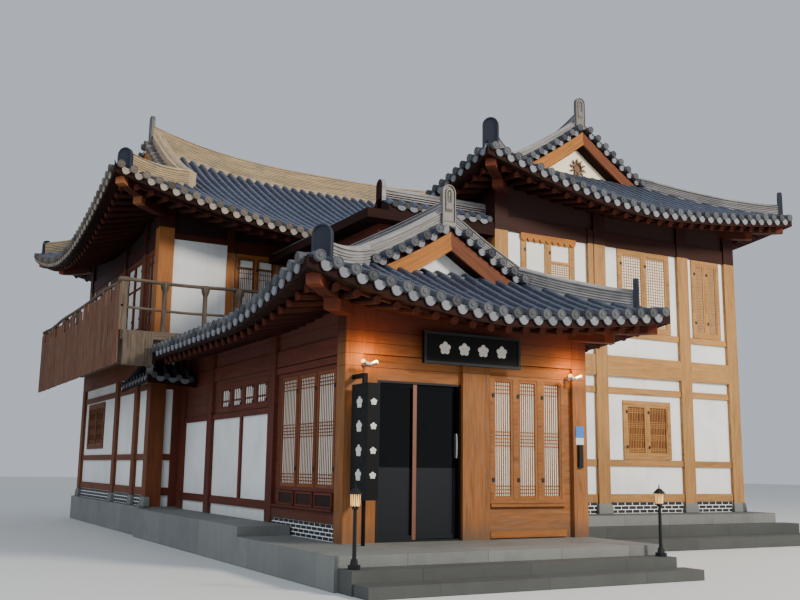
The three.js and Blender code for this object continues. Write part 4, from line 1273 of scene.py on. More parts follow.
def rafters(shell, roof, part, spans, depth, tiling):
    """Round logs under an eave, from near its edge to the wall, half bedded in the soffit."""
    low, high = spans
    count = max(2, round((high - low) / tiling.spacing) + 1)
    a = np.linspace(low, high, count)
    if part[0] == "side":
        run = np.where(a < 0, roof.ends[0], roof.ends[1]) - abs(a)
        run = np.where(np.where(a < 0, roof.hips[0], roof.hips[1]), run, 9.0)
    else:
        run = roof.half - abs(a)
    inner = np.minimum(depth, run - 0.05)
    good = inner > RAFTER_START + 0.15
    a, inner = a[good], inner[good]
    share = np.linspace(0, 1, 4)
    d = RAFTER_START + (inner[:, None] - RAFTER_START) * share[None]
    path = roof.on(part, a[:, None] + 0 * d, d)
    path[..., 2] -= roof.thickness(d) + tiling.rafter * 0.95
    seen = ~HIDDEN[roof.name](path[:, 0])
    tones = np.abs(np.sin(a * 33.1))
    shell.carry(circle(9, tiling.rafter), path[seen], tone=tones[seen], upright=False)


def batten(shell, roof, part, span):
    """The thin curved board that ties the rafters' ends together under an eave."""
    a = np.linspace(*span, 30)
    path = roof.on(part, a, BATTEN_IN)
    path[:, 2] -= roof.thickness(BATTEN_IN) + 0.012
    path = path[~HIDDEN[roof.name](path)]
    if len(path) > 2:
        shell.carry([(-0.022, -0.03), (0.022, -0.03), (0.022, 0.03), (-0.022, 0.03)], path)


# Beams under a hip: from and to, measured in from the corner, and their drop below the soffit.
HIP_BEAMS = ((0.62, 1.35, 0.20), (0.14, 1.0, 0.05))


def hip_beams(shell, roof):
    """Square beams under each hip: a lower one to the wall, and one above it that reaches nearly
    to the corner."""
    half = 0.10
    box = [(-half, -half), (half, -half), (half, half), (-half, half)]
    for i, end in roof.hipped():
        for side in (-1, 1):
            for low, high, drop in HIP_BEAMS:
                d = np.linspace(low, high, 6)
                path = roof.point(end * (roof.ends[i] - d), side * (roof.half - d), d)
                path[:, 2] -= roof.thickness(d) + drop
                if not HIDDEN[roof.name](path[:1])[0]:
                    shell.carry(box, path, tone=0.9)


# Barge board and the strip along its foot: how far out, top, foot and thickness.
BARGE_BOARDS = ((0.022, -0.10, -0.38, 0.03), (0.035, -0.33, -0.41, 0.05))


def barge_boards(pale_side, shaded_side, roof):
    """Broad boards that follow the verge below the tile ends, with a thin strip along the foot.
    Those on one side of each front gable are darker: painted shade."""
    for i, end in roof.hipped():
        for side in (-1, 1):
            shell = shaded_side if side * end < 0 and roof.along == "y" else pale_side
            d = np.linspace(roof.verge + 0.02, roof.half, 12)
            for out, high, low, thick in BARGE_BOARDS:
                s = end * (roof.ends[i] - roof.verge + out)
                path = roof.point(s, side * (roof.half - d), d)
                half = thick / 2
                board = [(-half, low), (half, low), (half, high), (-half, high)]
                shell.carry(board, path, tone=0.6)


# ---- small shapes


def lathe(shell, at, axis, section, sides, tone=0.5):
    """A section of (radius, height) turned about an axis through a point."""
    axis = unit(np.asarray(axis, float))
    side = unit(np.cross(axis, (0.3, 0.5, 0.81)))
    other = np.cross(axis, side)
    ring = circle(sides)
    section = np.asarray(section, float)
    points = (
        np.asarray(at, float)
        + axis * section[:, None, 1:]
        + (side * ring[:, :1] + other * ring[:, 1:])[None] * section[:, None, :1]
    )
    shell.grid(points[None], closed=True, tone=tone)


def bars(name, finish, slot, front, rows, body="house"):
    """A piece that is straight bars alone."""
    shell = Shell()
    shell.boxes(front, rows)
    shell.write(name, finish, slot, body)


# Width of a lattice's stiles and rails, and of its bars.
STILE = 0.045
BAR = 0.012


def lattice_leaf(leaf, upright, groups, top=1.0):
    """Rows for one lattice leaf: its stiles and rails, evenly spaced upright bars, and groups of
    level bars given as (low share, high share, count). Over the share top the paper stays plain."""
    (a0, a1), (z0, z1) = leaf
    front, back = LATTICE_DEPTH + 0.006, PAPER_DEPTH - 0.001
    face = PAPER_DEPTH - 0.010
    low, high = a0 + STILE, a1 - STILE
    foot, head = z0 + STILE, z0 + STILE + (z1 - z0 - 2 * STILE) * top
    rows = [
        (a0, low, z0, z1, front, back),
        (high, a1, z0, z1, front, back),
        (low, high, z0, foot, front + 0.001, back),
        (low, high, z1 - STILE, z1, front + 0.001, back),
    ]
    if 0 < top < 1:
        rows.append((low, high, head, head + STILE, front + 0.001, back))
    for x in low + (high - low) * np.arange(1, upright + 1) / (upright + 1):
        rows.append((x - BAR / 2, x + BAR / 2, foot, head, face, back))
    for start, stop, count in groups:
        for z in foot + (head - foot) * np.linspace(start, stop, count):
            rows.append((low, high, z - BAR / 2, z + BAR / 2, face - 0.002, back))
    return rows


def valance(shell, front, span, head, drop, count):
    """A thin board whose lower edge is a row of bows: the drop times the root of a sine."""
    share = np.linspace(0, 1, count * 6 + 1)
    a = span[0] + (span[1] - span[0]) * share
    foot = head - drop * (0.55 + 0.45 * np.sqrt(np.abs(np.sin(share * count * math.pi))))
    depth = np.array([-0.012, -0.012, 0.012, 0.012]) + 0.028
    height = np.stack([foot, head + 0 * foot, head + 0 * foot, foot], 1)
    shell.grid(front.points(a[:, None], depth[None], height), closed=True)


def panes(shell, front, leaves):
    """Flat sheets behind the lattices, each a small grid."""
    for (a0, a1), (z0, z1) in leaves:
        a, z = np.meshgrid(np.linspace(a0, a1, 3), np.linspace(z0, z1, 5))
        shell.grid(front.points(a, PAPER_DEPTH, z), facing=front.out())


def hinges(shell, front, leaves):
    """Two small black hinges on one side of each leaf."""
    near, far = LATTICE_DEPTH - 0.012, LATTICE_DEPTH + 0.012
    for (a0, _), (z0, z1) in leaves:
        low, high = a0 - 0.022, a0 + 0.022
        heights = (z0 + 0.16 * (z1 - z0), z1 - 0.14 * (z1 - z0))
        shell.boxes(front, [(low, high, z - 0.03, z + 0.03, near, far) for z in heights])


# Length of a plinth brick, and half of the mortar joints beside it and above it.
BRICK = 0.2
END_JOINT = 0.009
BED_JOINT = 0.008


def bricks(shell, beds, front, span, heights, depth, courses):
    """Black bricks in stretcher bond over a mortar bed. Each brick is a bar with a joint round
    it, and the last one of a course is cut to fit."""
    (low, high), (foot, head) = span, heights
    rise = (head - foot) / courses
    rows = []
    for i in range(courses):
        z0, z1 = foot + i * rise + BED_JOINT, foot + (i + 1) * rise - BED_JOINT
        for start in np.arange(low - (i % 2) * BRICK / 2, high, BRICK):
            a0, a1 = max(low, start) + END_JOINT, min(high, start + BRICK) - END_JOINT
            if a1 - a0 > 0.03:
                rows.append((a0, a1, z0, z1, depth - 0.0075, depth + 0.01))
    shell.boxes(front, rows)
    beds.boxes(front, [(low, high, foot, head, depth - 0.006, depth + 0.012)])


def quad_point(corners, u, v):
    """Bilinear point of four corners a, b, c, d at shares u (a to b) and v (a to c)."""
    a, b, c, d = (np.asarray(p, float) for p in corners)
    u, v = np.asarray(u, float)[..., None], np.asarray(v, float)[..., None]
    return (a + (b - a) * u) * (1 - v) + (c + (d - c) * u) * v


def small_roof(tiles, ends, corners, rows, courses):
    """A small flat tile slope on four corners, the first two along its eave: the same section of
    pans and covers as on the large roofs, and the same discs and crescents."""
    radius = 0.055
    x = np.array([0, 0.3, 0.30, 0.37, 0.5, 0.63, 0.70, 0.70])
    h = np.array([0.004, 0.02, 0.02, 0.05, 0.02 + radius, 0.05, 0.02, 0.02])
    u = np.append((np.arange(rows)[:, None] + x[None]).ravel() / rows, 1.0)
    lift = np.append(np.tile(h, rows), h[0])
    v = np.repeat(np.arange(courses + 1), 2)[1:-1] / courses
    step = np.tile([0.012, 0.0], courses)
    uu, vv = np.meshgrid(u, v)
    points = quad_point(corners, uu, vv)
    points[..., 2] += lift[None] + step[:, None]
    uv = np.stack([uu * rows, vv * courses + np.where(step > 0, 0.02, -0.02)[:, None]], -1)
    tiles.grid(points[None], uv[None], facing=(0, 0, 1))
    discs, pans = (np.arange(rows) + 0.5) / rows, np.arange(1, rows) / rows
    for kind, spots in (("disc", discs), ("pan", pans)):
        at = quad_point(corners, spots, 0 * spots)
        across = unit(quad_point(corners, spots + 0.01, 0 * spots) - at)
        out = unit((at - quad_point(corners, spots, 0 * spots + 0.1)) * [1, 1, 0])
        up = np.cross(out, across)
        up = unit(up * np.sign(up[:, 2:]))
        tones = np.abs(np.sin(spots * 57.3))
        if kind == "disc":
            tip = at + up * 0.03 + out * 0.02
            end_discs(ends, tip, out, across, up, disc_tone(tones), 0.8, 0.08)
        else:
            width = np.linalg.norm(np.subtract(corners[1], corners[0])) / rows - 0.05
            at = at + out * 0.004
            crescents(ends, at, out, across, up, pan_tone(tones), width, 0.075)


# ---- operators


class HOUSE_OT_roof_tiles(bpy.types.Operator):
    """Tile fields, eave ends and verge ends of the three large roofs"""

    bl_idname = "house.roof_tiles"
    bl_label = "Roof tiles"

    def execute(self, context):
        tiling = settings("tiling")
        for roof in ROOFS:
            tiles, ends = Shell(), Shell()
            for part in roof.parts():
                tile_rows(tiles, roof, part, tiling)
                eave_ends(ends, roof, part, tiling)
            verge_ends(tiles, ends, roof, tiling)
            # The entrance and main roofs take a darker copy of the tile clay as painted shade.
            back = roof is BACK_ROOF
            clay = "roof_tiles" if back else "dark_roof_tiles"
            tiles.write(roof.name + "_tiles", clay, "clay_tile")
            look = "tan_ends" if back else "tile_ends"
            ends.write(roof.name + "_tile_ends", look, "clay_tile")
        return {"FINISHED"}


class HOUSE_OT_ridges(bpy.types.Operator):
    """Ridge stacks and their end tablets"""

    bl_idname = "house.ridges"
    bl_label = "Ridges"

    def execute(self, context):
        for roof in ROOFS:
            stacks, plates, dark = Shell(), Shell(), Shell()
            crest = ridge_path(roof, "crest")
            stacks.carry(stack_profile(roof.width, roof.height + RIDGE_FOOT), crest, tone=0.2)
            for _, end in roof.hipped():
                foot = crest[0 if end < 0 else -1] + [0, 0, 0.10]
                way = foot - crest[12]
                tablet(plates, foot, way, roof.plate * 0.88, roof.height + roof.tall)
                for side in (-1, 1):
                    for kind, share in (("verge", 0.8), ("hip", 0.7)):
                        path = ridge_path(roof, kind, end, side)
                        if kind == "hip" and HIDDEN[roof.name](path[:1] + [0, 0, RIDGE_FOOT])[0]:
                            continue
                        profile = stack_profile(roof.width, roof.height * share + RIDGE_FOOT)
                        stacks.carry(profile, path, tone=0.4 + 0.2 * share)
                    tip = ridge_path(roof, "hip", end, side)
                    if not HIDDEN[roof.name](tip[:1] + [0, 0, RIDGE_FOOT])[0]:
                        way = tip[0] - tip[3]
                        foot = tip[0] + [0, 0, 0.06]
                        tablet(dark, foot, way, roof.plate, roof.hip_tall, boss=False)
            look = "tan_ridge" if roof is BACK_ROOF else "grey_ridge"
            replaced = (roof.name + "_ridges",)
            stacks.write(roof.name + "_ridge_stacks", look, look, replaces=replaced)
            plates.write(roof.name + "_crest_tablets", "crest_plate", "grey_ridge")
            dark.write(roof.name + "_hip_tablets", "dark_tablet", "clay_tile")
        return {"FINISHED"}

# Rafters of each roof: the eave, their span along it, and the overhang's depth.
RAFTERS = {
    "entrance": [
        (("end", -1), (-2.95, 2.95), 1.16),
        (("side", -1), (-4.3, 2.85), 1.12),
        (("side", 1), (-4.3, -0.45), 0.98),
    ],
    "main": [
        (("end", -1), (-4.0, 4.0), 1.1),
        (("side", -1), (-5.2, -0.6), 0.95),
        (("side", 1), (-5.2, 1.4), 0.95),
    ],
    "back": [
        (("side", 1), (-7.1, -0.7), 1.5),
        (("side", 1), (6.3, 7.1), 1.4),
        (("side", -1), (-7.1, 7.1), 1.5),
        (("end", -1), (-4.9, 4.9), 1.45),
        (("end", 1), (-4.9, 4.9), 1.3),
    ],
}
class HOUSE_OT_eaves(bpy.types.Operator):
    """Rafters, hip beams and barge boards"""

    bl_idname = "house.eaves"
    bl_label = "Eaves"

    def execute(self, context):
        tiling = settings("tiling")
        for roof in ROOFS:
            shell, beams, boards, strips, dark = (Shell() for _ in range(5))
            for part, span, depth in RAFTERS[roof.name]:
                rafters(shell, roof, part, span, depth, tiling)
                batten(strips, roof, part, span)
            hip_beams(beams, roof)
            barge_boards(boards, dark, roof)
            if dark.total:
                dark.write(roof.name + "_shaded_barge_boards", "dark_board", "red_timber")
            shell.write(roof.name + "_rafters", "eave_timber", "red_timber")
            look = "hip_timber" if roof is BACK_ROOF else "shaded_hip_timber"
            beams.write(roof.name + "_hip_beams", look, "orange_timber")
            boards.write(roof.name + "_barge_boards", "board_timber", "orange_timber")
            strips.write(roof.name + "_battens", "batten", "red_timber")
        return {"FINISHED"}


class HOUSE_OT_finishes(bpy.types.Operator):
    """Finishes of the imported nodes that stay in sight"""

    bl_idname = "house.finishes"
    bl_label = "Finishes"

    def execute(self, context):
        looks = {
            "granite": ["entrance_platform", "main_platform"],
            "step_stone": ["entrance_steps", "main_steps"],
            "floor_boards": ["entrance_floor", "main_floor", "upper_floor"],
            "entrance_timber": [
                "entrance_front_frame", "entrance_window_wall",
                "entrance_wall_over_door", "entrance_window",
            ],
            "groove_timber": ["entrance_wall_beside_door"],
            "door_iron": ["door_frame"],
            "door_glass": ["door_fixed_pane", "door_leaf"],
            "left_timber": [
                "entrance_left_frame", "entrance_left_window", "entrance_clerestory",
                "entrance_rear_gable",
            ],
            "plaster": ["entrance_right_wall", "entrance_gable"],
            "left_panel": ["link_walls"],
            "left_walling": ["entrance_left_wall"],
            "upper_walling": [
                "main_front_wall", "main_left_wall", "wing_front_wall", "wing_left_wall",
                "rear_wall", "right_wall",
            ],
            "soffit": [
                "entrance_roof", "main_roof", "back_roof", "link_roof", "side_canopy",
                "link_coping",
            ],
            "cream_plaster": ["main_gable"],
            "main_timber": ["main_front_frame", "main_shutters", "main_upper_windows"],
            "side_timber": ["main_left_frame"],
            "right_timber": ["right_frame", "right_upper_windows"],
            "wing_front_timber": ["wing_front_frame", "wing_front_window"],
            "wing_left_timber": ["wing_left_frame", "wing_shutters", "wing_upper_windows"],
            "rear_timber": ["rear_frame", "rear_upper_windows"],
            "deck_boards": ["balcony_deck", "balcony_front_rail", "balcony_side_boards"],
            "sign_black": ["sign_board", "sign_box"],
            "iron": ["lamp_left", "lamp_right"],
        }
        for finish, nodes in looks.items():
            for node in nodes:
                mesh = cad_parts[node].data
                mesh.materials.clear()
                mesh.materials.append(finish_of(finish))
        return {"FINISHED"}

# Bands of level bars: the low and the high share of a leaf's height, and their count.
THREE_BANDS = [(0.0, 0.09, 4), (0.44, 0.56, 5), (0.90, 1.0, 4)]
WOVEN = [(0.0, 0.10, 4), (0.28, 0.40, 4), (0.56, 0.68, 4), (0.88, 1.0, 4)]
UPPER_BANDS = [(0.06, 0.24, 5), (0.86, 0.94, 2)]
ONE_BAND = [(0.3, 0.36, 2)]
CLOSE_BARS = [(0.02, 0.98, 24)]


def storey(*spans):
    """Holes of upper windows, which are all of one height."""
    return [(span, UPPER_WINDOW) for span in spans]


# Each set of windows: its face and holes, leaves to a hole, border and post between two leaves,
# upright bars and bands, the finish and the slot of the wood, and what is behind it.
WINDOWS = {
    "entrance_window": (
        ENTRANCE_FRONT, [((2.36, 3.79), (0.95, 2.91))], 3, 0.06, 0.095, 6, THREE_BANDS,
        "piece_timber", "orange_timber", "paper",
    ),
    "entrance_left_window": (
        ENTRANCE_LEFT, [((0.2, 2.38), (1.10, 2.94))], 3, 0.06, 0.06, 8, THREE_BANDS,
        "leaf_timber", "red_timber", "paper",
    ),
    "entrance_clerestory": (
        ENTRANCE_LEFT, [((2.96, 5.48), (2.45, 2.98))], 4, 0.07, 0.13, 3, ONE_BAND,
        "red_piece", "red_timber", "white_pane",
    ),
    "main_shutters": (
        MAIN_FRONT, [((7.86, 9.2), (1.7, 2.93))], 2, 0.09, 0.06, 9, WOVEN,
        "honey_piece", "honey_timber", "dark_board",
    ),
    "main_upper_windows": (
        MAIN_FRONT, storey((5.27, 6.64), (7.81, 9.3), (9.98, 10.84)), 2, 0.09, 0.07, 7, CLOSE_BARS,
        "honey_piece", "honey_timber", "white_pane",
    ),
    "wing_front_window": (
        WING_FRONT, [((0.96, 1.95), (4.25, 6.19))], 2, 0.07, 0.06, 6, UPPER_BANDS,
        "leaf_timber", "orange_timber", "white_pane",
    ),
    "wing_shutters": (
        WING_LEFT, [((12.66, 14.58), (1.85, 3.02))], 2, 0.09, 0.06, 11, WOVEN,
        "leaf_timber", "red_timber", "shade_timber",
    ),
    "wing_upper_windows": (
        WING_LEFT, storey((8.4, 9.06), (9.5, 10.98), (11.42, 12.9), (13.3, 14.78)), 2, 0.09, 0.07,
        5, UPPER_BANDS, "red_piece", "red_timber", "white_pane",
    ),
    "rear_upper_windows": (
        REAR, storey((0.24, 1.73), (3.26, 4.74), (6.06, 7.54), (8.93, 10.41)), 2, 0.09, 0.07,
        6, UPPER_BANDS, "red_piece", "red_timber", "white_pane",
    ),
    "right_upper_windows": (
        RIGHT, storey((4.37, 5.85), (8.32, 9.8), (12.39, 13.87)), 2, 0.09, 0.07,
        6, UPPER_BANDS, "honey_piece", "honey_timber", "white_pane",
    ),
}
# Leaves that differ from their set, in order: the upright bars and the share that has bars.
PATTERNS = {
    "main_upper_windows": [(0, 1.0), (7, 0.74)],
    "wing_front_window": [(6, 0.88)] * 2,
    "wing_upper_windows": [(0, 0.62)] * 4 + [(5, 0.62)] * 4,
}
class HOUSE_OT_windows(bpy.types.Operator):
    """Lattices, paper, hinges and valances of the windows and shutters"""

    bl_idname = "house.windows"
    bl_label = "Windows"

    def execute(self, context):
        for name, row in WINDOWS.items():
            front, holes, count, border, post, upright, bands, finish, slot, pane = row
            lattice, back, metal = Shell(), Shell(), Shell()
            pattern = iter(PATTERNS.get(name, ()))
            for hole in holes:
                leaves = leaves_of(hole, count, border, post)
                rows = []
                for leaf in leaves:
                    number, top = next(pattern, (upright, 1.0))
                    rows += lattice_leaf(leaf, number, bands if number else [], top)
                lattice.boxes(front, rows)
                panes(back, front, leaves)
                hinges(metal, front, leaves)
            lattice.write(name + "_lattice", finish, slot)
            back.write(name + "_panes", pane, "cream_plaster")
            metal.write(name + "_hinges", "iron", "black_metal")
        scallops = Shell()
        valance(scallops, MAIN_FRONT, (5.25, 6.66), 6.21, 0.16, 9)
        valance(scallops, WING_FRONT, (0.95, 1.96), 6.20, 0.05, 7)
        scallops.write("window_valances", "board_timber", "orange_timber")
        rows = [(-0.46, 0.75, 4.04, 6.36, 0.026, 0.069)]
        bars("wing_plaster_panel", "plaster", "white_plaster", WING_FRONT, rows)
        return {"FINISHED"}


class HOUSE_OT_plinths(bpy.types.Operator):
    """Brick plinths and the stones under the posts"""

    bl_idname = "house.plinths"
    bl_label = "Plinths"

    def execute(self, context):
        shell, beds, stones = Shell(), Shell(), Shell()
        bricks(shell, beds, ENTRANCE_LEFT, (0.15, 2.55), (0.42, 0.66), 0.035, 4)
        runs = [
            (MAIN_FRONT, [(4.93, 7.12), (7.45, 9.51), (9.85, 10.97)]),
            (WING_LEFT, [(8.33, 9.13), (9.43, 11.05), (11.35, 15.03)]),
            (REAR, [(-0.47, 2.43), (2.77, 5.23), (5.57, 8.03), (8.37, 10.97)]),
            (RIGHT, [(3.33, 6.89), (7.23, 10.89), (11.23, 15.03)]),
        ]
        for front, spans in runs:
            for span in spans:
                bricks(shell, beds, front, span, (BASE_TOP, 0.83), 0.055, 3)
        posts = [
            (MAIN_FRONT, [(4.6, 4.92), (7.13, 7.44), (9.52, 9.84), (10.98, 11.3)]),
            (WING_LEFT, [(8.0, 8.32), (9.14, 9.42), (11.06, 11.34), (15.04, 15.36)]),
            (REAR, [(-0.8, -0.48), (2.44, 2.76), (5.24, 5.56), (8.04, 8.36), (10.98, 11.3)]),
            (RIGHT, [(3.0, 3.32), (6.9, 7.22), (10.9, 11.22), (15.04, 15.36)]),
        ]
        for front, spans in posts:
            for low, high in spans:
                level = np.array([0.0, 0.10, 0.17, 0.20])[:, None] + BASE_TOP
                grow = np.array([0.035, 0.03, 0.018, 0.004])[:, None]
                along = np.array([low, high, high, low])[None] + grow * [-1, 1, 1, -1]
                depth = np.array([0, 0, 0.1, 0.1])[None] + grow * [-1, -1, 0, 0]
                stones.grid(front.points(along, depth, level + 0 * along)[None], closed=True)
        shell.write("plinth_bricks", "brick", "dark_granite")
        beds.write("plinth_mortar", "mortar", "white_plaster")
        stones.write("post_stones", "plinth_stone", "granite", bevel=0.006)
        return {"FINISHED"}


class HOUSE_OT_balcony(bpy.types.Operator):
    """Weathered boards and rails of the balcony, each bent a little by a sine of its length"""

    bl_idname = "house.balcony"
    bl_label = "Balcony"

    def execute(self, context):
        boards, rails = Shell(), Shell()
        rng = np.random.default_rng(7)
        count = 52
        low, high = 6.26, 15.63
        width = (high - low) / count
        starts = low + np.arange(count) * width
        tops = 4.86 + 0.12 * rng.random(count) - 0.22 * (rng.random(count) > 0.72)
        feet = 3.36 + 0.02 * rng.random(count)
        level = np.linspace(0, 1, 9)
        height = feet[:, None] + (tops - feet)[:, None] * level[None]
        wave = 0.008 * np.sin(height * 4.1 + rng.random(count)[:, None] * 6.3)
        side = np.array([0.006, width - 0.006, width - 0.006, 0.006])
        along = starts[:, None, None] + side[None, None] + wave[..., None]
        proud = 0.006 * rng.random(count)[:, None, None]
        out = np.array([0.050, 0.050, 0.022, 0.022])[None, None] + proud
        x = -1.90 - out + 0 * along
        points = np.stack([x, along, height[..., None] + 0 * along], -1)
        boards.grid(points, closed=True, tone=rng.random(count))
        boards.write(
            "balcony_boards", "rust_board", "grey_boards", replaces=("balcony_side_boards",)
        )
        ring = circle(8, 0.036)
        y = np.linspace(6.27, 15.62, 60)
        path = np.stack([-1.915 + 0.010 * np.sin(y * 2.3), y, 5.02 + 0.018 * np.sin(y * 1.7)], -1)
        rails.carry(ring, path, tone=0.4)
        path = np.stack([-1.895 + 0 * y, y, 4.50 + 0.012 * np.sin(y * 2.1)], -1)
        rails.carry(ring * 0.7, path, tone=0.5)
        for level, size in ((5.035, 1.0), (4.48, 0.75)):
            x = np.linspace(-1.88, 2.13, 40)
            y = 6.345 + 0.008 * np.sin(x * 3.1)
            path = np.stack([x, y, level + 0.015 * np.sin(x * 2.3)], -1)
            rails.carry(ring * size, path, tone=0.3)
        spots = [(x + 0.035, 6.345) for x in (-1.09, -0.26, 0.47, 1.30, 2.08)]
        spots += [(-1.87, y) for y in np.linspace(7.9, 15.5, 6)]
        section = [
            (0.07, 4.03), (0.058, 4.10), (0.046, 4.5), (0.048, 4.84), (0.085, 4.94), (0.09, 5.0),
            (0.05, 5.06),
        ]
        post = [(-1.93, -1.79, 4.03, 5.0, 0.0, 0.14), (-1.96, -1.76, 5.0, 5.07, -0.03, 0.17)]
        rails.boxes(Front("y", -1, 6.27), post)
        for i, (x, y) in enumerate(spots):
            lathe(rails, (x, y, 0.0), (0, 0, 1), section, 9, tone=(i * 0.37) % 1)
        rails.write(
            "balcony_rails", "balcony_board", "grey_boards", replaces=("balcony_front_rail",)
        )
        rows = [(-1.84 + i * 0.145, -1.70 + i * 0.145, 3.36, 4.02, -0.022, 0.0) for i in range(4)]
        rows += [(-1.86, 2.16, 3.87, 4.03, -0.02, 0.0)]
        face = Front("y", -1, 6.24)
        bars("balcony_front_boards", "balcony_board", "grey_boards", face, rows)
        return {"FINISHED"}


class HOUSE_OT_small_roofs(bpy.types.Operator):
    """Tiles on the side canopy and the coping over the link, and the link's metal roof"""

    bl_idname = "house.small_roofs"
    bl_label = "Small roofs"

    def execute(self, context):
        tiles, ends, caps = Shell(), Shell(), Shell()
        front = [(-1.15, 6.9, 3.23), (-0.145, 6.9, 3.16), (-0.85, 8.0, 3.56), (-0.145, 8.0, 3.56)]
        side = [(-1.15, 9.1, 3.15), (-1.15, 6.9, 3.23), (-0.8, 9.1, 3.56), (-0.8, 7.9, 3.56)]
        small_roof(tiles, ends, front, 4, 4)
        small_roof(tiles, ends, side, 9, 2)
        path = np.array([(-1.11, 6.97, 3.25), (-0.98, 7.42, 3.40), (-0.83, 7.9, 3.58)])
        caps.carry(stack_profile(0.16, 0.22) - [0, 0.06], path, tone=0.3)
        for y0, y1 in ((3.02, 3.31), (3.78, 3.49)):
            small_roof(
                tiles, ends,
                [(2.2, y0, 6.34), (4.6, y0, 6.34), (2.2, y1, 6.51), (4.6, y1, 6.51)], 9, 1,
            )
        path = [(2.2, 3.4, 6.36), (3.4, 3.4, 6.36), (4.59, 3.4, 6.36)]
        caps.carry(stack_profile(0.19, 0.36), path)
        tablet(caps, np.array([2.23, 3.4, 6.48]), (-1, 0), 0.25, 0.46, boss=False)
        tiles.write("small_roof_tiles", "roof_tiles", "clay_tile")
        ends.write("small_roof_ends", "tile_ends", "clay_tile")
        caps.write("small_roof_ridges", "grey_ridge", "grey_ridge")
        seams = 1.78 + np.arange(8)[:, None] * 0.4
        x = (seams + np.array([-0.012, -0.012, 0.012, 0.012])).ravel()[2:-2]
        z = 6.234 + np.tile([0.0, 0.03, 0.03, 0.0], 8)[2:-2]
        y = np.linspace(3.8, 7.9, 5)[:, None]
        sheet = Shell()
        sheet.grid(np.stack(np.broadcast_arrays(x, y, z), -1), facing=(0, 0, 1))
        sheet.write("link_roof_sheet", "sheet_metal", "grey_ridge")
        return {"FINISHED"}

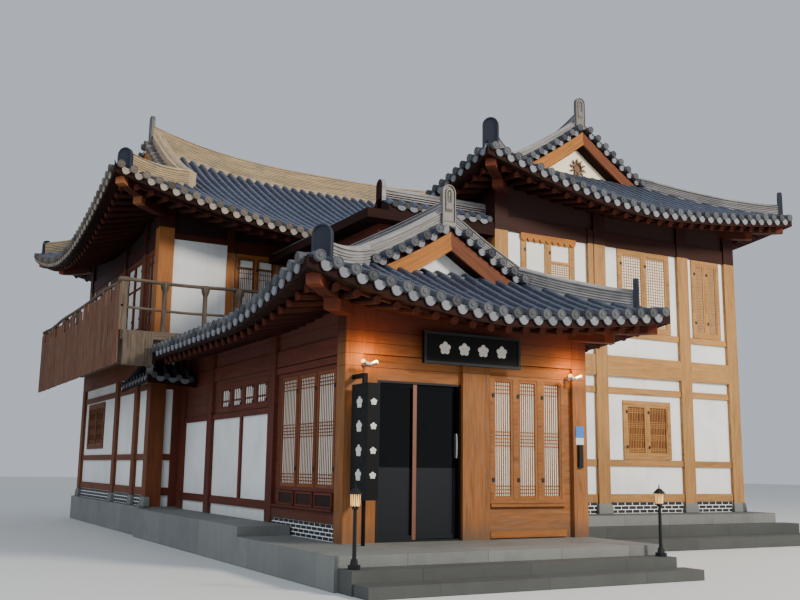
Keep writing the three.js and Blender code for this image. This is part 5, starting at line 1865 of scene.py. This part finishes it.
# Where the two post lamps stand, and the wall lights beside the entrance.
POST_LAMPS = (-0.83, 4.02)
POST_LAMP_Y = -1.94
WALL_LIGHTS = (0.16, 3.86)
WALL_LIGHT_Z = 2.93
class HOUSE_OT_entrance(bpy.types.Operator):
    """Signs, lamps, wall lights, door handle and trim of the entrance"""

    bl_idname = "house.entrance"
    bl_label = "Entrance details"

    def execute(self, context):
        self.signs()
        self.lamps()
        self.wall_lights()
        self.door()
        self.wainscot()
        self.post_plates()
        return {"FINISHED"}

    def signs(self):
        """The rim of the sign board, and rosettes on both signs."""
        marks = Shell()
        rim = [
            (1.06, 2.79, 2.99, 3.03, -0.012, 0.01), (1.06, 2.79, 3.43, 3.47, -0.012, 0.01),
            (1.06, 1.10, 3.03, 3.43, -0.012, 0.01), (2.75, 2.79, 3.03, 3.43, -0.012, 0.01),
        ]
        bars("sign_board_rim", "iron", "black_metal", Front("y", -1, -0.30), rim)
        for x in (1.42, 1.76, 2.10, 2.44):
            self.rosette(marks, (x, -0.30, 3.23), (0, -1, 0), 0.10)
        for z in (2.35, 2.02, 1.69, 1.36):
            self.rosette(marks, (-0.08, -0.5, z), (-1, 0, 0), 0.085)
            self.rosette(marks, (0.008, -0.75, z), (0, -1, 0), 0.05)
        marks.write("sign_rosettes", "sign_white", "white_plaster")

    def lamps(self):
        """The eight-sided glass of each post lamp, turned, and a thin bar on each of its edges."""
        glass, cage = Shell(), Shell()
        section = [(0.050, 1.005), (0.056, 1.02), (0.060, 1.09), (0.063, 1.155)]
        for x in POST_LAMPS:
            lathe(glass, (x, POST_LAMP_Y, 0), (0, 0, 1), section, 8)
            for a, b in circle(8, 1.0, math.pi / 8):
                low = np.array([x + a * 0.056, POST_LAMP_Y + b * 0.056, 1.0])
                high = np.array([x + a * 0.066, POST_LAMP_Y + b * 0.066, 1.16])
                cage.carry(circle(5, 0.005), np.stack([low, (low + high) / 2, high]))
        glass.write("lamp_panes", "lamp_glass", "dark_glass")
        cage.write("lamp_cages", "iron", "black_metal")

    def wall_lights(self):
        """Each wall light: a turned foot and two turned spots that look up to either side."""
        fittings, bulbs = Shell(), Shell()
        foot = [(0.045, 0.0), (0.04, 0.03), (0.016, 0.05), (0.014, 0.16)]
        spot = [(0.014, -0.08), (0.028, -0.06), (0.034, 0.02), (0.036, 0.05)]
        bulb = [(0.031, 0.0), (0.026, 0.010), (0.010, 0.015)]
        for x in WALL_LIGHTS:
            for side in (-1, 1):
                at = np.array([x + side * 0.07, -0.30, WALL_LIGHT_Z])
                way = np.array([side * 0.75, -0.35, 0.35])
                lathe(fittings, at, way, spot, 12)
                lathe(bulbs, at + unit(way) * 0.052, way, bulb, 12)
            lathe(fittings, (x, -0.145, WALL_LIGHT_Z), (0, -1, 0), foot, 12)
        fittings.write("wall_light_fittings", "steel", "black_metal")
        bulbs.write("wall_light_bulbs", "wall_glow", "dark_glass")

    def door(self):
        """The handle on the sliding leaf, the fixed pane's strip, and the window's sills."""
        rows = [(1.775, 1.80, 1.62, 1.98, 0.092, 0.14), (1.779, 1.796, 1.66, 1.94, 0.082, 0.092)]
        bars("door_handle", "steel", "black_metal", ENTRANCE_FRONT, rows, body="entrance_door")
        rows = [(1.018, 1.08, 0.445, 2.695, 0.078, 0.09)]
        bars("pane_strip", "bronze", "black_metal", ENTRANCE_FRONT, rows)
        rows = [(2.36, 3.80, 0.90, 0.945, 0.01, 0.06), (2.36, 3.80, 0.44, 0.54, 0.03, 0.06)]
        bars("front_window_sills", "piece_timber", "orange_timber", ENTRANCE_FRONT, rows)

    def wainscot(self):
        """Three dark openings low in the left wall, framed by slats, between two long rails."""
        vents, slats = Shell(), Shell()
        for low, high in ((0.30, 0.86), (1.00, 1.58), (1.72, 2.28)):
            vents.boxes(ENTRANCE_LEFT, [(low, high, 0.90, 1.06, 0.034, 0.06)])
            rim = [
                (low - 0.03, high + 0.03, 1.06, 1.09, 0.02, 0.06),
                (low - 0.03, high + 0.03, 0.87, 0.90, 0.02, 0.06),
                (low - 0.03, low, 0.90, 1.06, 0.022, 0.06),
                (high, high + 0.03, 0.90, 1.06, 0.022, 0.06),
            ]
            slats.boxes(ENTRANCE_LEFT, rim)
        rows = [(0.14, 2.56, 0.84, 0.868, -0.05, 0.06), (0.14, 2.56, 2.96, 3.06, 0.03, 0.06)]
        slats.boxes(ENTRANCE_LEFT, rows)
        vents.write("wainscot_openings", "shade_timber", "red_timber")
        slats.write("wainscot_rails", "red_piece", "red_timber")

    def post_plates(self):
        """The plate on the right post with its pale foot, and the door phone under it."""
        rows = [(3.985, 4.145, 1.87, 1.978, -0.011, 0.0)]
        bars("post_plate_foot", "sign_white", "white_plaster", ENTRANCE_FRONT, rows)
        rows = [(3.985, 4.145, 1.98, 2.16, -0.012, 0.0)]
        bars("post_plate", "blue_plate", "dark_glass", ENTRANCE_FRONT, rows)
        rows = [(4.02, 4.11, 1.50, 1.86, -0.035, 0.0), (4.03, 4.10, 1.53, 1.83, -0.041, -0.035)]
        bars("door_phone", "door_iron", "black_metal", ENTRANCE_FRONT, rows)

    def rosette(self, shell, at, facing, size):
        """A plain five-petalled flower: radius grows and shrinks with the fifth harmonic."""
        facing = np.asarray(facing, float)
        across = np.cross((0, 0, 1.0), facing)
        angle = np.arange(40) / 40 * 2 * math.pi
        petal = 0.72 + 0.28 * np.abs(np.cos(angle * 2.5))
        flat = np.stack([np.sin(angle), np.cos(angle)], -1) * petal[:, None] * size
        flower = across * flat[:, :1] + np.array([0, 0, 1.0]) * flat[:, 1:]
        steps = [(1, 0.0), (0.98, 0.008), (0.72, 0.013), (0.3, 0.006), (0.26, 0.012), (0.1, 0.016)]
        rings = [np.asarray(at, float) + flower * scale + facing * out for scale, out in steps]
        shell.grid(np.stack(rings)[None], closed=True)


class HOUSE_OT_gables(bpy.types.Operator):
    """Sun ornament of the main gable, the back gables' plaster and the strips along each foot"""

    bl_idname = "house.gables"
    bl_label = "Gables"

    def execute(self, context):
        shell = Shell()
        centre = np.array([7.95, 4.48, 8.40])
        out = np.array([0, -1.0, 0])
        ring = [(0.10, -0.02), (0.115, -0.02), (0.115, 0.03), (0.10, 0.03), (0.10, -0.01)]
        lathe(shell, centre, out, ring, 24)
        turn = circle(10, 1.0, math.pi / 10)
        share = np.linspace(0, 1, 6)
        radius = 0.125 + 0.11 * share
        swing = 0.35 * np.sin(share * math.pi) * 0.35
        width = 0.026 * (1 - share) + 0.003
        angle = np.arctan2(turn[:, 1], turn[:, 0])[:, None] + swing[None]
        spine = np.stack([np.cos(angle) * radius, 0 * angle, np.sin(angle) * radius], -1)
        side = np.stack([-np.sin(angle), 0 * angle, np.cos(angle)], -1)
        rows = []
        for s, o in ((-1, 0.0), (1, 0.0), (1, 0.03), (-1, 0.03)):
            rows.append(centre + spine + side * (s * width)[None, :, None] + out * o)
        shell.grid(np.stack(rows, 2), closed=True)
        shell.write("gable_sun", "ornament", "honey_timber")
        foot = Shell()
        section = [
            (-0.07, -0.02), (0.07, -0.02), (0.07, 0.04), (0.03, 0.06), (-0.03, 0.06), (-0.07, 0.04),
        ]
        for roof in ROOFS:
            for i, end in roof.hipped():
                t = np.linspace(-(roof.half - roof.gable), roof.half - roof.gable, 15)
                s = end * (roof.ends[i] - roof.gable + 0.07)
                foot.carry(section, roof.point(s, t, roof.gable - 0.07))
        foot.write("gable_feet", "grey_ridge", "grey_ridge")
        walls, roof = Shell(), BACK_ROOF
        t = np.linspace(-2.9, 2.9, 31)
        for end in (-1, 1):
            s = end * (roof.ends[0] - roof.gable) + end * np.array([0.012, 0.012, 0.004, 0.004])
            low = roof.point(s, t[:, None], roof.gable, -0.03)
            high = roof.point(s, t[:, None], roof.half - abs(t[:, None]), -0.30)
            high[..., 2] = np.maximum(high[..., 2], low[..., 2] + 0.01)
            walls.grid(np.where(np.array([0, 1, 1, 0])[:, None], high, low), closed=True)
        walls.write("back_gable_plaster", "cream_plaster", "cream_plaster")
        return {"FINISHED"}


class HOUSE_OT_stage(bpy.types.Operator):
    """Floor, soft light and camera"""

    bl_idname = "house.stage"
    bl_label = "Stage"

    def execute(self, context):
        stage = settings("stage")
        f = Finish("stage_floor", Roughness=0.9)
        x, y, z = f.place()
        cloud = f.noise(f.vector(x, y, z), 0.3, 3.0)
        f.set(Base_Color=f.mix(deep(stage.floor, 0.04), stage.floor, cloud))
        a, b = np.meshgrid(np.linspace(-90, 90, 4), np.linspace(-90, 90, 4))
        points = np.stack([a, b, 0 * a - 0.002], -1).reshape(-1, 3)
        mesh = bpy.data.meshes.new("floor")
        i = np.arange(3)[:, None] * 4 + np.arange(3)[None]
        faces = np.stack([i, i + 1, i + 5, i + 4], -1).reshape(-1, 4)
        mesh.from_pydata(points.tolist(), [], faces.tolist())
        mesh.materials.append(f.material)
        floor = bpy.data.objects.new("floor", mesh)
        context.scene.collection.objects.link(floor)
        world = bpy.data.worlds.new("studio")
        world.use_nodes = True
        back = world.node_tree.nodes["Background"]
        back.inputs[0].default_value = (0.80, 0.88, 1.0, 1)
        back.inputs[1].default_value = stage.sky
        context.scene.world = world
        self.lamp("key", (12, -32, 18), (0, -2, 4), 7.0, 2600 * stage.key, (1.0, 0.92, 0.80))
        self.lamp("fill", (-26, -14, 16), (-2, 0, 4), 16.0, 2000, (0.82, 0.91, 1.0))
        for side, x in zip(("left", "right"), WALL_LIGHTS):
            self.glow("warm_" + side, (x, -0.40, 3.06))
        self.camera(stage.lens)
        return {"FINISHED"}

    def lamp(self, name, at, aim, size, power, tint):
        """A round soft light that looks from one point to another."""
        light = bpy.data.lights.new(name, "AREA")
        light.shape, light.size, light.energy, light.color = "DISK", size, power, tint
        lamp = bpy.data.objects.new(name, light)
        lamp.location = at
        back = np.subtract(at, aim) / np.linalg.norm(np.subtract(at, aim))
        right = np.cross((0, 0, 1), back)
        right /= np.linalg.norm(right)
        way = Matrix(np.stack([right, np.cross(back, right), back], 1).tolist())
        lamp.rotation_euler = way.to_euler()
        bpy.context.scene.collection.objects.link(lamp)

    def glow(self, name, at):
        """The warm light that a wall light throws on the eave."""
        light = bpy.data.lights.new(name, "POINT")
        light.energy, light.color, light.shadow_soft_size = 18, (1.0, 0.45, 0.08), 0.04
        lamp = bpy.data.objects.new(name, light)
        lamp.location = np.array(at) + SHIFT
        bpy.context.scene.collection.objects.link(lamp)

    def camera(self, lens):
        """The photograph's view: turned 28.8 degrees to the right, raised 9.9 and rolled 0.75."""
        yaw, pitch, roll = (math.radians(v) for v in (28.8, 9.9, 0.75))
        level = math.cos(pitch)
        ahead = np.array([math.sin(yaw) * level, math.cos(yaw) * level, math.sin(pitch)])
        right = np.array([math.cos(yaw), -math.sin(yaw), 0.0])
        up = np.cross(right, ahead)
        turned = math.cos(roll) * right + math.sin(roll) * up
        up = -math.sin(roll) * right + math.cos(roll) * up
        data = bpy.data.cameras.new("camera")
        data.lens, data.sensor_width = lens, 36.0
        data.clip_end = 500
        camera = bpy.data.objects.new("camera", data)
        place = Matrix(np.stack([turned, up, -ahead], 1).tolist()).to_4x4()
        place.translation = (-11.19, -19.54, 1.47)
        camera.matrix_world = place
        bpy.context.scene.collection.objects.link(camera)
        bpy.context.scene.camera = camera


STEPS = [
    HOUSE_OT_finishes,
    HOUSE_OT_roof_tiles,
    HOUSE_OT_ridges,
    HOUSE_OT_eaves,
    HOUSE_OT_gables,
    HOUSE_OT_windows,
    HOUSE_OT_plinths,
    HOUSE_OT_balcony,
    HOUSE_OT_small_roofs,
    HOUSE_OT_entrance,
    HOUSE_OT_stage,
]
GROUPS = {
    "house_tiling": HouseTiling,
    "house_timber": HouseTimber,
    "house_masonry": HouseMasonry,
    "house_stage": HouseStage,
}


class HOUSE_PT_panel(bpy.types.Panel):
    """Settings and steps of the house"""

    bl_idname = "HOUSE_PT_panel"
    bl_label = "Tiled timber house"
    bl_space_type = "VIEW_3D"
    bl_region_type = "UI"
    bl_category = "House"

    def draw(self, context):
        for name, group in GROUPS.items():
            box = self.layout.box()
            for key in group.__annotations__:
                box.prop(getattr(context.scene, name), key)
        for step in STEPS:
            self.layout.operator(step.bl_idname)


def register():
    for item in [*GROUPS.values(), *STEPS, HOUSE_PT_panel]:
        bpy.utils.register_class(item)
    for name, group in GROUPS.items():
        setattr(bpy.types.Scene, name, bpy.props.PointerProperty(type=group))


def unregister():
    for name in GROUPS:
        delattr(bpy.types.Scene, name)
    for item in [HOUSE_PT_panel, *reversed(STEPS), *GROUPS.values()]:
        bpy.utils.unregister_class(item)


def main():
    """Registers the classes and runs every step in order."""
    register()
    for step in STEPS:
        group, name = step.bl_idname.split(".")
        getattr(getattr(bpy.ops, group), name)()


if __name__ == "__main__":
    main()
